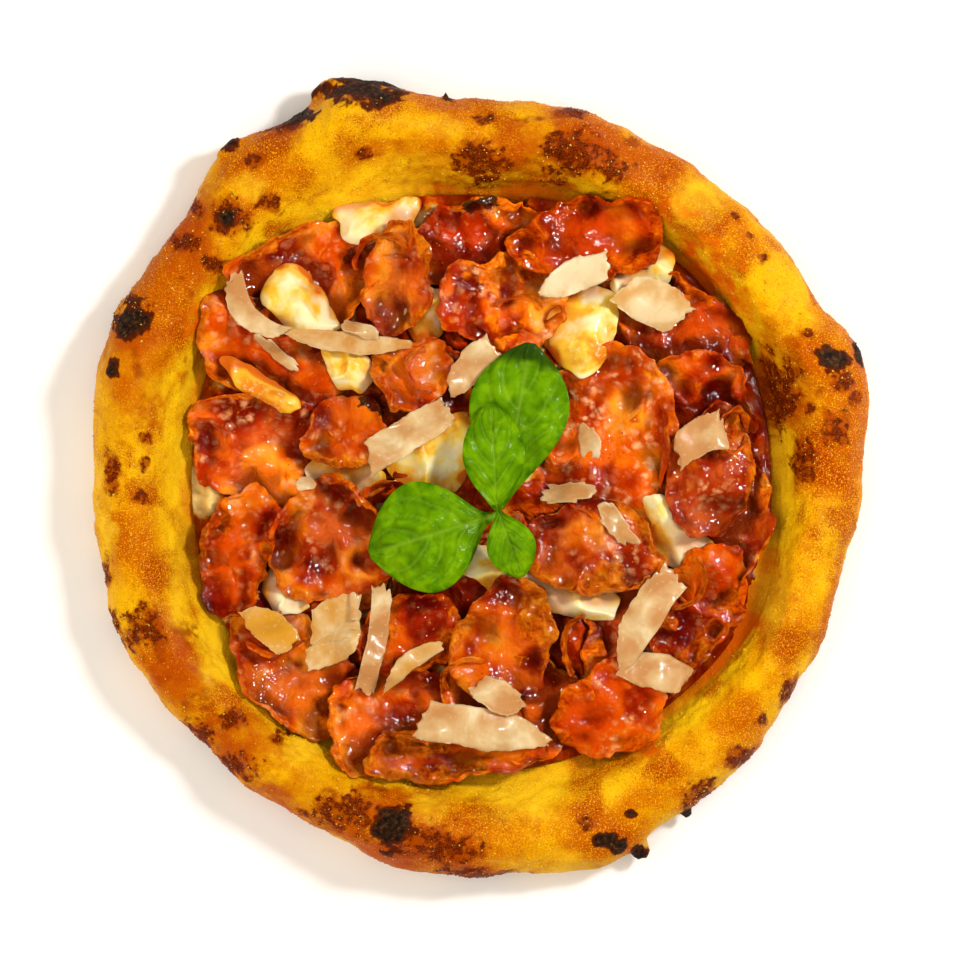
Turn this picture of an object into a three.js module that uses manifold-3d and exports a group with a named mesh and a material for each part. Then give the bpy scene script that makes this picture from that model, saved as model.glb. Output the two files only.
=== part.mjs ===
// Salami pizza, uncut, lying flat: puffed rim, sauce, melted mozzarella, curled salami, cheese
// shavings and a basil sprig. Millimetres, +Z up, seen from above with +X right and +Y away.
// The underside is at z = 0 and the middle of the outer box is at x = y = 0.
import * as THREE from 'three';
import { mergeVertices } from 'three/addons/utils/BufferGeometryUtils.js';
import Module from 'manifold-3d';

const wasm = await Module();
wasm.setup();

const degree = Math.PI / 180;
const turnFull = 2 * Math.PI;

// ---------------------------------------------------------------- driving dimensions
const rim = {
  outerRadius: 148.5,     // widest line of the puffed rim, before its lobes
  innerRadius: 116.5,     // foot of the inner slope, where the sauce ends
  outerHalf: 17,          // from the widest line in to the crown
  height: 26.5,           // crown above the table
  waist: 10.5,            // height of the widest line
  tuck: 7,                // how far the underside stays inside the widest line
  segments: 96,
  underShares: [0.45, 0.8, 1],            // rows of the section, in from its foot
  tuckShares: [0.3, 0.62, 0.9],           // up the tuck to the widest line
  outerArcs: [12, 32, 52, 72],            // degrees up from the widest line to the crown
  innerShares: [0, 0.22, 0.42, 0.6, 0.76, 0.9, 1],   // crown to the foot of the inner slope
  floorShares: [0.85, 0.5],
  innerBulge: { left: 1.55, right: 2.3 },  // how full the inner slope stands, left and right
  ruffles: 11,
  ruffleHeight: 0.6,
};
const unrest = { rise: 0.5, across: 0.21, away: 0.19, slant: [0.13, -0.17] };  // slow waves
const knobDents = { depth: 0.12, waves: [9, 7, 5] };
const baseThickness = 4;
const restGap = 0.3;      // daylight between a piece and what it lies on
const sauce = {
  thickness: 2.2,
  inset: 1.2,
  rings: [0.3, 0.6, 0.85, 1],
  segments: 24,
  ripple: 0.5,
  rippleAcross: 0.23,
  rippleAway: 0.19,
};
const salami = { thickness: 1.4, rings: [0.42, 0.76, 1], segments: 16, lobed: 0.06, torn: 0.05 };
const mozzarella = { rings: [0.62, 1], segments: 12, rimThickness: 0.9, boxy: 0.35, lobed: 0.09, bitten: 0.06 };
const shaving = { thickness: 1, along: 7, across: 2, chipped: 0.07, slant: 0.12, trough: 0.5 };
const basil = {
  thickness: 0.7,
  along: 9,
  across: 6,
  stalkHalf: 0.9,
  roundness: 0.8,
  tipShare: 1.006,        // the outline would close just past the last station
  tipStart: 0.72,
  droop: 0.16,            // how fast the sides hang
  crease: 1.1,            // rise beside the midrib
  pucker: 0.9,
  puckerWaves: 19,
};
// How a soft piece settles on what lies below: rounds of easing, the most tries, spot spacing
const draping = { slice: 8, cheese: 3, shaving: 26, triesMost: 80, spacing: 1.3, slack: 0.02 };
const colours = {
  crust: 0xe2971c,
  sauce: 0x8e1206,
  mozzarella: 0xfbe6a8,
  salami: 0xc05a24,
  shaving: 0xe6c28c,
  basil: 0x6fa808,
};

// Swellings of the outer outline: bearing, half width in degrees, extra radius
const outerLobes = [
  { bearing: 16, width: 9, swell: 6.5 },
  { bearing: 27, width: 5, swell: -2 },
  { bearing: 54, width: 22, swell: -3 },
  { bearing: 88, width: 6, swell: -2.5 },
  { bearing: 109, width: 8, swell: 12 },
  { bearing: 121, width: 6, swell: 4 },
  { bearing: 129, width: 8, swell: 11.5 },
  { bearing: 147, width: 9, swell: 4 },
  { bearing: 161, width: 9, swell: 5 },
  { bearing: 176, width: 14, swell: 2 },
  { bearing: 203, width: 10, swell: 4.5 },
  { bearing: 265, width: 11, swell: 6 },
  { bearing: 287, width: 9, swell: 9.5 },
  { bearing: 247, width: 8, swell: 1.5 },
  { bearing: 306, width: 8, swell: 2 },
  { bearing: 345, width: 13, swell: -4.5 },
];
// The same for the foot of the inner slope and for the height of the crown
const innerLobes = [
  { bearing: 90, width: 9, swell: -5 },
  { bearing: 68, width: 9, swell: -3 },
  { bearing: 140, width: 14, swell: 2 },
  { bearing: 180, width: 16, swell: -2 },
  { bearing: 235, width: 24, swell: 2.5 },
  { bearing: 2, width: 12, swell: -2 },
  { bearing: 335, width: 12, swell: 3 },
];
const crownLobes = [
  { bearing: 20, width: 12, swell: 4 },
  { bearing: 75, width: 14, swell: 2.5 },
  { bearing: 112, width: 12, swell: 5 },
  { bearing: 165, width: 14, swell: 3 },
  { bearing: 215, width: 12, swell: -2 },
  { bearing: 255, width: 14, swell: 3 },
  { bearing: 300, width: 12, swell: -3 },
  { bearing: 338, width: 12, swell: 2 },
];
// Blisters and hollows of the rim: place, reach, rise
const blisters = [
  { at: [-52, 141], reach: 13, rise: 4 },
  { at: [-88, 122], reach: 9, rise: 2.5 },
  { at: [-1, 118], reach: 10, rise: 3 },
  { at: [46, 118], reach: 10, rise: 2.5 },
  { at: [18, 132], reach: 8, rise: -1.8 },
  { at: [132, 44], reach: 12, rise: 3.5 },
  { at: [122, 28], reach: 9, rise: 2.5 },
  { at: [118, 66], reach: 9, rise: -2 },
  { at: [104, 92], reach: 11, rise: 1.8 },
  { at: [136, -20], reach: 10, rise: 1.5 },
  { at: [118, -72], reach: 11, rise: -1.5 },
  { at: [96, -100], reach: 10, rise: 2.2 },
  { at: [60, -126], reach: 10, rise: -2 },
  { at: [-34, -134], reach: 14, rise: 3 },
  { at: [-80, -112], reach: 10, rise: 2 },
  { at: [-118, -78], reach: 10, rise: 2.2 },
  { at: [-132, -20], reach: 12, rise: 1.8 },
  { at: [-134, 50], reach: 13, rise: 3 },
  { at: [-112, 86], reach: 9, rise: -1.8 },
];
// Knobs of burnt dough that stand off the rim, as squashed balls
const knobs = [
  { at: [-94, 125, 17], size: [20, 12, 12], turn: 38 },
  { at: [-54, 150, 15], size: [22, 12, 11], turn: 10 },
  { at: [62, -143, 9], size: [8, 7, 6], turn: 40 },
  { at: [80, -129, 8], size: [5, 4, 4], turn: 30 },
  { at: [46, -138, 16], size: [10, 7, 5], turn: 15 },
  { at: [54, -138, 14], size: [6, 6, 5], turn: 0 },
  { at: [57, -128, 19], size: [7, 6, 5], turn: 60 },
  { at: [40, -131, 20], size: [6, 5, 4], turn: 0 },
  { at: [-13, 145, 14], size: [2.4, 10, 3], turn: 12 },
  { at: [1, -152, 8], size: [4, 5, 3], turn: 0 },
];

// Melted mozzarella: middle, size along its own axes, turn, rise of its dome, squareness
const mozzarellaPieces = [
  { at: [-39, 99], size: [29, 17], turn: 4, rise: 6.5, square: 0.5 },
  { at: [-69, 67], size: [28, 18], turn: -48, rise: 5, square: 0.4 },
  { at: [-52, 44], size: [23, 17], turn: -62, rise: 5, square: 0.3 },
  { at: [-82, 34], size: [30, 9], turn: -32, rise: 3, square: 0.2 },
  { at: [-21, 66], size: [20, 16], turn: 74, rise: 5.5, square: 0.4 },
  { at: [40, 58], size: [32, 25], turn: 66, rise: 4.5, square: 0.3 },
  { at: [64, 79], size: [23, 16], turn: 55, rise: 5, square: 0.4 },
  { at: [75, -22], size: [34, 17], turn: -52, rise: 4, square: 0.2 },
  { at: [-51, 1], size: [31, 14], turn: -12, rise: 4, square: 0.2 },
  { at: [-76, -45], size: [20, 12], turn: -50, rise: 4, square: 0.3 },
  { at: [24, -42], size: [62, 15], turn: -18, rise: 3.5, square: 0.1 },
  { at: [-18, 10], size: [36, 24], turn: 30, rise: 3.5, square: 0.2 },
];

// Salami slices in the order in which they lie: middle, size, turn of the long side, frill of
// the edge (waves, height, start), pleats across the long side (count, depth), curls (bearing
// that the edge curls from, where the bend starts, bend radius, how far it bends), cup.
// The first of them lie under the mozzarella.
const slicesUnderCheese = 14;
const salamiPieces = [
  { at: [-67, 77], size: [60, 44], turn: 26, frill: [5, 2.4, 10], pleats: [2, 1.8],
    curls: [{ bearing: 116, start: 16, radius: 4, sweep: 75 }], cup: 1 },
  { at: [-82, 47], size: [60, 40], turn: -38, frill: [4, 2.4, 60], pleats: [3, 2.2],
    curls: [{ bearing: 232, start: 14, radius: 4, sweep: 75 }], cup: 0.5 },
  { at: [-86, 13], size: [56, 42], turn: -6, frill: [5, 2.2, 20], pleats: [2, 1.6],
    curls: [{ bearing: 185, start: 22, radius: 4, sweep: 70 }], cup: 1 },
  { at: [0, 91], size: [56, 40], turn: 8, frill: [5, 2.6, 40], pleats: [2, 1.8],
    curls: [{ bearing: 88, start: 12, radius: 3.5, sweep: 95 }], cup: 1 },
  { at: [74, 56], size: [60, 44], turn: -36, frill: [6, 2.4, 15], pleats: [3, 1.8],
    curls: [{ bearing: 52, start: 17, radius: 4, sweep: 80 }], cup: 0.5 },
  { at: [86, 28], size: [46, 38], turn: -60, frill: [5, 2.4, 0], pleats: [2, 1.6],
    curls: [{ bearing: 15, start: 14, radius: 4, sweep: 75 }], cup: 1 },
  { at: [50, 16], size: [70, 52], turn: 96, frill: [7, 1.8, 30], pleats: [3, 1.6],
    curls: [{ bearing: 20, start: 22, radius: 4, sweep: 65 }], cup: 0.8 },
  { at: [94, -18], size: [52, 36], turn: 72, frill: [6, 2.6, 0], pleats: [2, 1.8],
    curls: [{ bearing: 345, start: 13, radius: 3.5, sweep: 85 }], cup: 1 },
  { at: [-71, -76], size: [54, 40], turn: -40, frill: [5, 2.4, 35], pleats: [2, 1.6],
    curls: [{ bearing: 225, start: 14, radius: 4, sweep: 75 }], cup: 1 },
  { at: [-36, -92], size: [52, 40], turn: 20, frill: [6, 2.6, 5], pleats: [2, 1.8],
    curls: [{ bearing: 170, start: 18, radius: 3.5, sweep: 90 }], cup: 1 },
  { at: [13, -88], size: [56, 42], turn: -8, frill: [5, 2.4, 55], pleats: [3, 2],
    curls: [{ bearing: 60, start: 16, radius: 4, sweep: 75 }], cup: 0.5 },
  { at: [62, -64], size: [54, 46], turn: 60, frill: [5, 2.6, 40], pleats: [2, 2.2],
    curls: [{ bearing: 190, start: 18, radius: 4, sweep: 80 }], cup: 0.5 },
  { at: [-8, -36], size: [60, 44], turn: 24, frill: [5, 2, 15], pleats: [2, 1.4],
    curls: [{ bearing: 200, start: 24, radius: 4, sweep: 60 }], cup: 0.5 },
  { at: [-30, 28], size: [54, 44], turn: 40, frill: [5, 2, 25], pleats: [2, 1.4],
    curls: [{ bearing: 120, start: 20, radius: 4, sweep: 70 }], cup: 0.5 },
  { at: [8, 68], size: [48, 40], turn: 2, frill: [5, 2, 50], pleats: [4, 2.6],
    curls: [{ bearing: 92, start: 15, radius: 3, sweep: 85 }], cup: 0.5 },
  { at: [-57, -24], size: [52, 48], turn: 60, frill: [5, 2.6, 25], pleats: [2, 1.8],
    curls: [{ bearing: 150, start: 18, radius: 4, sweep: 85 },
      { bearing: 50, start: 17, radius: 4, sweep: 100 }], cup: 1 },
  { at: [51, -89], size: [42, 36], turn: 30, frill: [5, 2.2, 0], pleats: [1, 1.2],
    curls: [{ bearing: 280, start: 13, radius: 4, sweep: 75 }], cup: -2 },
  { at: [84, -50], size: [48, 34], turn: 54, frill: [6, 2.8, 10], pleats: [2, 1.8],
    curls: [{ bearing: 318, start: 10, radius: 3.5, sweep: 100 }], cup: 1 },
  { at: [45, -28], size: [54, 38], turn: -14, frill: [6, 2.6, 30], pleats: [2, 1.8],
    curls: [{ bearing: 285, start: 12, radius: 3.5, sweep: 90 },
      { bearing: 350, start: 21, radius: 3.5, sweep: 85 }], cup: -1.5 },
  { at: [88, 2], size: [52, 32], turn: 84, frill: [5, 2.4, 60], pleats: [2, 1.8],
    curls: [{ bearing: 172, start: 12, radius: 4, sweep: 75 }], cup: 0.8 },
  { at: [-33, 76], size: [44, 26], turn: 84, frill: [5, 2.4, 30], pleats: [1, 1.2],
    curls: [{ bearing: 176, start: 7, radius: 4, sweep: 100 },
      { bearing: 4, start: 9, radius: 4, sweep: 80 }], cup: 1 },
  { at: [42, 92], size: [56, 32], turn: 4, frill: [5, 2.4, 15], pleats: [1, 1.2],
    curls: [{ bearing: 338, start: 20, radius: 3.5, sweep: 105 },
      { bearing: 95, start: 11, radius: 4, sweep: 60 }], cup: -2.5 },
  { at: [-94, -28], size: [50, 31], turn: 76, frill: [5, 2.4, 45], pleats: [1, 1.2],
    curls: [{ bearing: 168, start: 9, radius: 4, sweep: 95 },
      { bearing: 348, start: 9, radius: 4, sweep: 95 }], cup: 1.5 },
  { at: [-53, 17], size: [32, 27], turn: 10, frill: [5, 2.2, 0], pleats: [1, 1.2],
    curls: [{ bearing: 255, start: 9, radius: 3.5, sweep: 85 }], cup: -2 },
  { at: [-28, 38], size: [32, 27], turn: 30, frill: [5, 2.2, 20], pleats: [1, 1.2],
    curls: [{ bearing: 190, start: 9, radius: 3.5, sweep: 85 }], cup: -2.5 },
  { at: [-27, -60], size: [42, 32], turn: 12, frill: [6, 2.8, 35], pleats: [1, 1.4],
    curls: [{ bearing: 290, start: 9, radius: 3.5, sweep: 100 }], cup: 1 },
  { at: [10, -62], size: [50, 38], turn: 68, frill: [6, 2.8, 50], pleats: [2, 2.2],
    curls: [{ bearing: 150, start: 14, radius: 3.5, sweep: 95 },
      { bearing: 355, start: 13, radius: 4, sweep: 75 }], cup: -1.5 },
  { at: [-10, -107], size: [70, 24], turn: 2, frill: [7, 2.8, 25], pleats: [3, 1.8],
    curls: [{ bearing: 282, start: 6, radius: 3.5, sweep: 95 },
      { bearing: 170, start: 27, radius: 3.5, sweep: 90 }], cup: 1 },
];

// Hard-cheese shavings: middle, length, widest width, turn, share of that width at the start,
// the middle and the end, bow in plan (sideways at the middle), arch (rise at the middle);
// a chip is a second shaving stuck on the first
const shavingPieces = [
  { at: [-85, 67], length: 30, width: 10, turn: -49, shares: [0.8, 1, 0.9], bow: -7, arch: 2 },
  { at: [-50, 54], length: 50, width: 9, turn: -6, shares: [0.25, 1, 0.35], bow: -2, arch: 2 },
  { at: [36, 77], length: 29, width: 14, turn: 20, shares: [0.25, 1, 0.75], bow: 1, arch: 1.5 },
  { at: [66, 67], length: 27, width: 19, turn: -28, shares: [0.7, 1, 0.65], bow: 1, arch: 1.5 },
  { at: [-4, 42], length: 27, width: 13, turn: 46, shares: [0.4, 1, 0.9], bow: 1, arch: 2 },
  { at: [-28, 17], length: 38, width: 14, turn: 31, shares: [0.95, 1, 0.9], bow: 0, arch: 1 },
  { at: [84, 14], length: 21, width: 16, turn: 28, shares: [0.8, 0.9, 1], bow: 2, arch: 4.5 },
  { at: [64, -55], length: 42, width: 15, turn: 59, shares: [0.3, 1, 0.85], bow: 2.5, arch: 3,
    chip: { at: [67, -75], length: 26, width: 15, turn: -16, shares: [0.6, 1, 0.7], bow: 1, arch: 1.5 } },
  { at: [-82, -58], length: 23, width: 14, turn: -42, shares: [0.5, 1, 0.8], bow: 1, arch: 1.5 },
  { at: [-56, -55], length: 20, width: 17, turn: 16, shares: [0.8, 1, 0.9], bow: 1, arch: 1.5,
    chip: { at: [-57, -66], length: 23, width: 12, turn: 24, shares: [0.7, 1, 0.5], bow: 0, arch: 1 } },
  { at: [-42, -62], length: 43, width: 9.5, turn: 80, shares: [0.8, 0.85, 1], bow: -2, arch: 2.5 },
  { at: [-26, -73], length: 29, width: 8, turn: 38, shares: [0.25, 1, 0.5], bow: 3, arch: 1.5 },
  { at: [1, -97], length: 49, width: 17, turn: -11, shares: [0.95, 1, 0.25], bow: 1, arch: 2.5 },
  { at: [6, -84], length: 19, width: 13, turn: -34, shares: [0.7, 1, 0.6], bow: 1, arch: 1.5 },
];

// Basil leaves: stalk end, bearing of the tip, length, widest width, where along it is widest,
// bare stalk, dome, rise of the tip
const basilLeaves = [
  { foot: [8, -11], bearing: 80, length: 64, width: 39, belly: 0.6, stalk: 2, dome: 6, tip: 20 },
  { foot: [6, -14], bearing: 197, length: 51, width: 44, belly: 0.52, stalk: 5, dome: 5, tip: -10 },
  { foot: [6, -12], bearing: 93, length: 41, width: 24, belly: 0.5, stalk: 2, dome: 5, tip: -8 },
  { foot: [6, -10], bearing: 289, length: 29, width: 19, belly: 0.52, stalk: 4, dome: 4, tip: -8 },
];

// ---------------------------------------------------------------- small helpers
const mix = (from, to, share) => from + (to - from) * share;

function swellAt(lobes, bearing) {
  let total = 0;
  for (const lobe of lobes) {
    const away = ((bearing - lobe.bearing + 540) % 360) - 180;
    total += lobe.swell * Math.exp(-((away / lobe.width) ** 2));
  }
  return total;
}

function turned(x, y, angle) {
  const c = Math.cos(angle);
  const s = Math.sin(angle);
  return [x * c - y * s, x * s + y * c];
}

function geometryOf(points, faces) {
  const geometry = new THREE.BufferGeometry();
  geometry.setAttribute('position', new THREE.Float32BufferAttribute(points.flat(), 3));
  geometry.setIndex(faces.flat());
  return geometry;
}

function manifoldOf(geometry) {
  const bare = geometry.clone();
  bare.deleteAttribute('normal');
  bare.deleteAttribute('uv');
  const merged = mergeVertices(bare);
  const mesh = new wasm.Mesh({
    numProp: 3,
    vertProperties: new Float32Array(merged.attributes.position.array),
    triVerts: new Uint32Array(merged.index.array),
  });
  return new wasm.Manifold(mesh);
}

function geometryOfManifold(solid) {
  const mesh = solid.getMesh();
  const geometry = new THREE.BufferGeometry();
  geometry.setAttribute('position', new THREE.BufferAttribute(mesh.vertProperties, 3));
  geometry.setIndex(new THREE.BufferAttribute(mesh.triVerts, 1));
  return geometry;
}

// ---------------------------------------------------------------- what lies below a new piece
// A square map of the highest point so far over each cell.
const terrain = { cell: 0.8, half: 166, reach: 1 };
terrain.count = Math.ceil((2 * terrain.half) / terrain.cell);
terrain.heights = new Float32Array(terrain.count * terrain.count);

const cellOf = (value) => Math.floor((value + terrain.half) / terrain.cell);

function groundAt(x, y) {
  const column = cellOf(x);
  const row = cellOf(y);
  let highest = 0;
  for (let j = row - terrain.reach; j <= row + terrain.reach; j++) {
    for (let i = column - terrain.reach; i <= column + terrain.reach; i++) {
      highest = Math.max(highest, terrain.heights[j * terrain.count + i]);
    }
  }
  return highest;
}

// Calls visit(weights) on an even spread over a triangle
function overTriangle(a, b, c, spacing, visit) {
  const longest = Math.max(a.distanceTo(b), b.distanceTo(c), c.distanceTo(a));
  const steps = Math.max(1, Math.ceil(longest / spacing));
  for (let i = 0; i <= steps; i++) {
    for (let j = 0; j <= steps - i; j++) {
      visit([i / steps, j / steps, (steps - i - j) / steps]);
    }
  }
}

function stamp(geometry) {
  const spot = geometry.attributes.position;
  const index = geometry.index.array;
  const corner = [new THREE.Vector3(), new THREE.Vector3(), new THREE.Vector3()];
  for (let f = 0; f < index.length; f += 3) {
    corner.forEach((point, k) => point.fromBufferAttribute(spot, index[f + k]));
    overTriangle(...corner, terrain.cell / 2, ([p, q, r]) => {
      const x = corner[0].x * p + corner[1].x * q + corner[2].x * r;
      const y = corner[0].y * p + corner[1].y * q + corner[2].y * r;
      const z = corner[0].z * p + corner[1].z * q + corner[2].z * r;
      const cell = cellOf(y) * terrain.count + cellOf(x);
      terrain.heights[cell] = Math.max(terrain.heights[cell], z);
    });
  }
}

// ---------------------------------------------------------------- sheets
// A sheet is a list of columns (x, y, z of the lower face, thickness), its faces and its edge
// loop. It becomes a closed solid whose two faces are split into triangles alike.
function polarSheet(rings, segments, place) {
  const columns = [place(0, 0)];
  const faces = [];
  const loop = [];
  rings.forEach((radius, ring) => {
    for (let i = 0; i < segments; i++) {
      const next = (i + 1) % segments;
      const here = 1 + ring * segments + i;
      const beside = 1 + ring * segments + next;
      columns.push(place(radius, (i / segments) * turnFull));
      if (ring === 0) {
        faces.push([0, here, beside]);
      } else {
        faces.push([here - segments, here, beside]);
        faces.push([here - segments, beside, beside - segments]);
      }
      if (ring === rings.length - 1) {
        loop.push(here);
      }
    }
  });
  return { columns, faces, loop };
}

function gridSheet(along, across, place) {
  const columns = [];
  const faces = [];
  const at = (i, j) => i * (across + 1) + j;
  for (let i = 0; i <= along; i++) {
    for (let j = 0; j <= across; j++) {
      columns.push(place(i / along, (2 * j) / across - 1));
    }
  }
  for (let i = 0; i < along; i++) {
    for (let j = 0; j < across; j++) {
      faces.push([at(i, j), at(i + 1, j), at(i + 1, j + 1)]);
      faces.push([at(i, j), at(i + 1, j + 1), at(i, j + 1)]);
    }
  }
  const loop = [];
  for (let i = 0; i < along; i++) loop.push(at(i, 0));
  for (let j = 0; j < across; j++) loop.push(at(along, j));
  for (let i = along; i > 0; i--) loop.push(at(i, across));
  for (let j = across; j > 0; j--) loop.push(at(0, j));
  return { columns, faces, loop };
}

function sheetNormals(sheet, flat) {
  const normals = sheet.columns.map(() => new THREE.Vector3());
  if (flat) {
    return normals.map((normal) => normal.set(0, 0, 1));
  }
  for (const face of sheet.faces) {
    const [a, b, c] = face.map((k) => sheet.columns[k]);
    const first = new THREE.Vector3(b.x - a.x, b.y - a.y, b.z + b.lift - a.z - a.lift);
    const second = new THREE.Vector3(c.x - a.x, c.y - a.y, c.z + c.lift - a.z - a.lift);
    const normal = first.cross(second);
    face.forEach((k) => normals[k].add(normal));
  }
  return normals.map((normal) => normal.normalize());
}

function sheetPoints(sheet) {
  const normals = sheetNormals(sheet, sheet.flat);
  const lower = sheet.columns.map((c) => new THREE.Vector3(c.x, c.y, c.z + c.lift));
  const upper = lower.map((point, k) =>
    point.clone().addScaledVector(normals[k], sheet.columns[k].thickness));
  return { lower, upper };
}

function smoothLifts(sheet) {
  const sums = sheet.columns.map(() => [0, 0]);
  for (const [a, b, c] of sheet.faces) {
    for (const [from, to] of [[a, b], [b, c], [c, a]]) {
      sums[from][0] += sheet.columns[to].lift;
      sums[from][1] += 1;
      sums[to][0] += sheet.columns[from].lift;
      sums[to][1] += 1;
    }
  }
  sheet.columns.forEach((column, k) => {
    column.lift = mix(column.lift, sums[k][0] / sums[k][1], 0.5);
  });
}

// Lifts columns until no spot of either face is under what lies below it
function raiseLifts(sheet, spacing) {
  let deepest = 0;
  const raises = sheet.columns.map(() => 0);
  const { lower, upper } = sheetPoints(sheet);
  for (const side of [lower, upper]) {
    for (const face of sheet.faces) {
      const [a, b, c] = face.map((k) => side[k]);
      let short = 0;
      let share = null;
      overTriangle(a, b, c, spacing, (weights) => {
        const x = a.x * weights[0] + b.x * weights[1] + c.x * weights[2];
        const y = a.y * weights[0] + b.y * weights[1] + c.y * weights[2];
        const z = a.z * weights[0] + b.z * weights[1] + c.z * weights[2];
        const missing = groundAt(x, y) + restGap - z;
        if (missing > short) {
          short = missing;
          share = weights;
        }
      });
      if (share) {
        const total = share.reduce((sum, weight) => sum + weight * weight, 0);
        face.forEach((k, corner) => {
          raises[k] = Math.max(raises[k], (short * share[corner]) / total);
        });
        deepest = Math.max(deepest, short);
      }
    }
  }
  sheet.columns.forEach((column, k) => {
    column.lift += raises[k];
  });
  return deepest;
}

function settle(sheet, ease) {
  for (const column of sheet.columns) {
    column.lift = groundAt(column.x, column.y) + restGap;
  }
  for (let round = 0; round < ease; round++) {
    smoothLifts(sheet);
    raiseLifts(sheet, draping.spacing);
  }
  for (let round = 0; round < draping.triesMost; round++) {
    if (raiseLifts(sheet, draping.spacing) < draping.slack) break;
  }
}

// Lowers a stiff piece in one go, so it touches at its lowest spots and bridges the rest
function settleStiff(sheet) {
  sheet.columns.forEach((column) => {
    column.lift = 0;
  });
  const { lower, upper } = sheetPoints(sheet);
  let lift = 0;
  for (const side of [lower, upper]) {
    for (const face of sheet.faces) {
      const [a, b, c] = face.map((k) => side[k]);
      overTriangle(a, b, c, draping.spacing, (weights) => {
        const x = a.x * weights[0] + b.x * weights[1] + c.x * weights[2];
        const y = a.y * weights[0] + b.y * weights[1] + c.y * weights[2];
        const z = a.z * weights[0] + b.z * weights[1] + c.z * weights[2];
        lift = Math.max(lift, groundAt(x, y) + restGap - z);
      });
    }
  }
  sheet.columns.forEach((column) => {
    column.lift = lift;
  });
}

function sheetSolid(sheet) {
  const { lower, upper } = sheetPoints(sheet);
  const count = lower.length;
  const points = [...lower, ...upper].map((point) => [point.x, point.y, point.z]);
  const faces = [];
  for (const [a, b, c] of sheet.faces) {
    faces.push([a + count, b + count, c + count]);
    faces.push([a, c, b]);
  }
  sheet.loop.forEach((p, k) => {
    const q = sheet.loop[(k + 1) % sheet.loop.length];
    faces.push([p, q, q + count]);
    faces.push([p, q + count, p + count]);
  });
  return geometryOf(points, faces);
}

// ---------------------------------------------------------------- crust
function rimAt(bearing) {
  const angle = bearing * degree;
  const outer = rim.outerRadius + swellAt(outerLobes, bearing);
  const inner = rim.innerRadius + swellAt(innerLobes, bearing);
  const height = rim.height + swellAt(crownLobes, bearing) 
    + Math.sin(rim.ruffles * angle) * rim.ruffleHeight;
  return { outer, inner, height, crown: outer - rim.outerHalf };
}

// Section of the crust at one bearing, from under the middle, round the rim and in again
function crustProfile(bearing) {
  const { outer, inner, height, crown } = rimAt(bearing);
  const rows = [];
  const foot = outer - rim.tuck;
  for (const share of rim.underShares) {
    rows.push({ r: foot * share, z: 0, soft: 0 });
  }
  for (const share of rim.tuckShares) {
    const arc = share * 90 * degree;
    rows.push({ r: foot + rim.tuck * Math.sin(arc), z: rim.waist * (1 - Math.cos(arc)), soft: share });
  }
  for (const arc of rim.outerArcs) {
    const r = crown + rim.outerHalf * Math.cos(arc * degree);
    rows.push({ r, z: rim.waist + (height - rim.waist) * Math.sin(arc * degree), soft: 1 });
  }
  const bulge = mix(rim.innerBulge.left, rim.innerBulge.right, (1 + Math.cos(bearing * degree)) / 2);
  for (const share of rim.innerShares) {
    const drop = share ** bulge;
    const soft = 1 - share ** 4;
    rows.push({ r: mix(crown, inner, share), z: mix(height, baseThickness, drop), soft });
  }
  for (const share of rim.floorShares) {
    rows.push({ r: inner * share, z: baseThickness, soft: 0 });
  }
  return rows;
}

function blisterAt(x, y) {
  let total = 0;
  for (const blister of blisters) {
    const away = Math.hypot(x - blister.at[0], y - blister.at[1]);
    total += blister.rise * Math.exp(-((away / blister.reach) ** 2));
  }
  const waves = Math.sin(x * unrest.across) * Math.sin(y * unrest.away + 1)
    + Math.sin(x * unrest.slant[0] + y * unrest.slant[1]);
  return total + waves * unrest.rise;
}

function crustRing() {
  const points = [[0, 0, 0]];
  const faces = [];
  const rowCount = crustProfile(0).length;
  const at = (row, i) => 1 + row * rim.segments + (i % rim.segments);
  const profiles = [];
  for (let i = 0; i < rim.segments; i++) {
    profiles.push(crustProfile((i / rim.segments) * 360));
  }
  for (let row = 0; row < rowCount; row++) {
    for (let i = 0; i < rim.segments; i++) {
      const angle = (i / rim.segments) * turnFull;
      const { r, z, soft } = profiles[i][row];
      const before = profiles[i][Math.max(row - 1, 0)];
      const after = profiles[i][Math.min(row + 1, rowCount - 1)];
      const slope = new THREE.Vector2(after.z - before.z, before.r - after.r).normalize();
      const puff = blisterAt(r * Math.cos(angle), r * Math.sin(angle)) * soft;
      const radius = r + slope.x * puff;
      const height = Math.max(z + slope.y * puff, 0);
      points.push([radius * Math.cos(angle), radius * Math.sin(angle), height]);
      if (row === 0) {
        faces.push([0, at(0, i + 1), at(0, i)]);
      } else {
        faces.push([at(row - 1, i), at(row - 1, i + 1), at(row, i + 1)]);
        faces.push([at(row - 1, i), at(row, i + 1), at(row, i)]);
      }
    }
  }
  const top = points.length;
  points.push([0, 0, baseThickness]);
  for (let i = 0; i < rim.segments; i++) {
    faces.push([top, at(rowCount - 1, i), at(rowCount - 1, i + 1)]);
  }
  return geometryOf(points, faces);
}

function knobGeometry(knob) {
  const ball = new THREE.IcosahedronGeometry(0.5, 1);
  const spot = ball.attributes.position;
  const [first, second, third] = knobDents.waves;
  for (let k = 0; k < spot.count; k++) {
    const phase = first * spot.getX(k) + second * spot.getY(k) + third * spot.getZ(k);
    const dent = 1 + knobDents.depth * Math.sin(phase);
    spot.setXYZ(k, spot.getX(k) * dent, spot.getY(k) * dent, spot.getZ(k) * dent);
  }
  ball.scale(...knob.size);
  ball.rotateZ(knob.turn * degree);
  ball.translate(...knob.at);
  return ball;
}

function crustGeometry() {
  let solid = manifoldOf(crustRing());
  for (const knob of knobs) {
    solid = solid.add(manifoldOf(knobGeometry(knob)));
  }
  return geometryOfManifold(solid);
}

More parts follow.
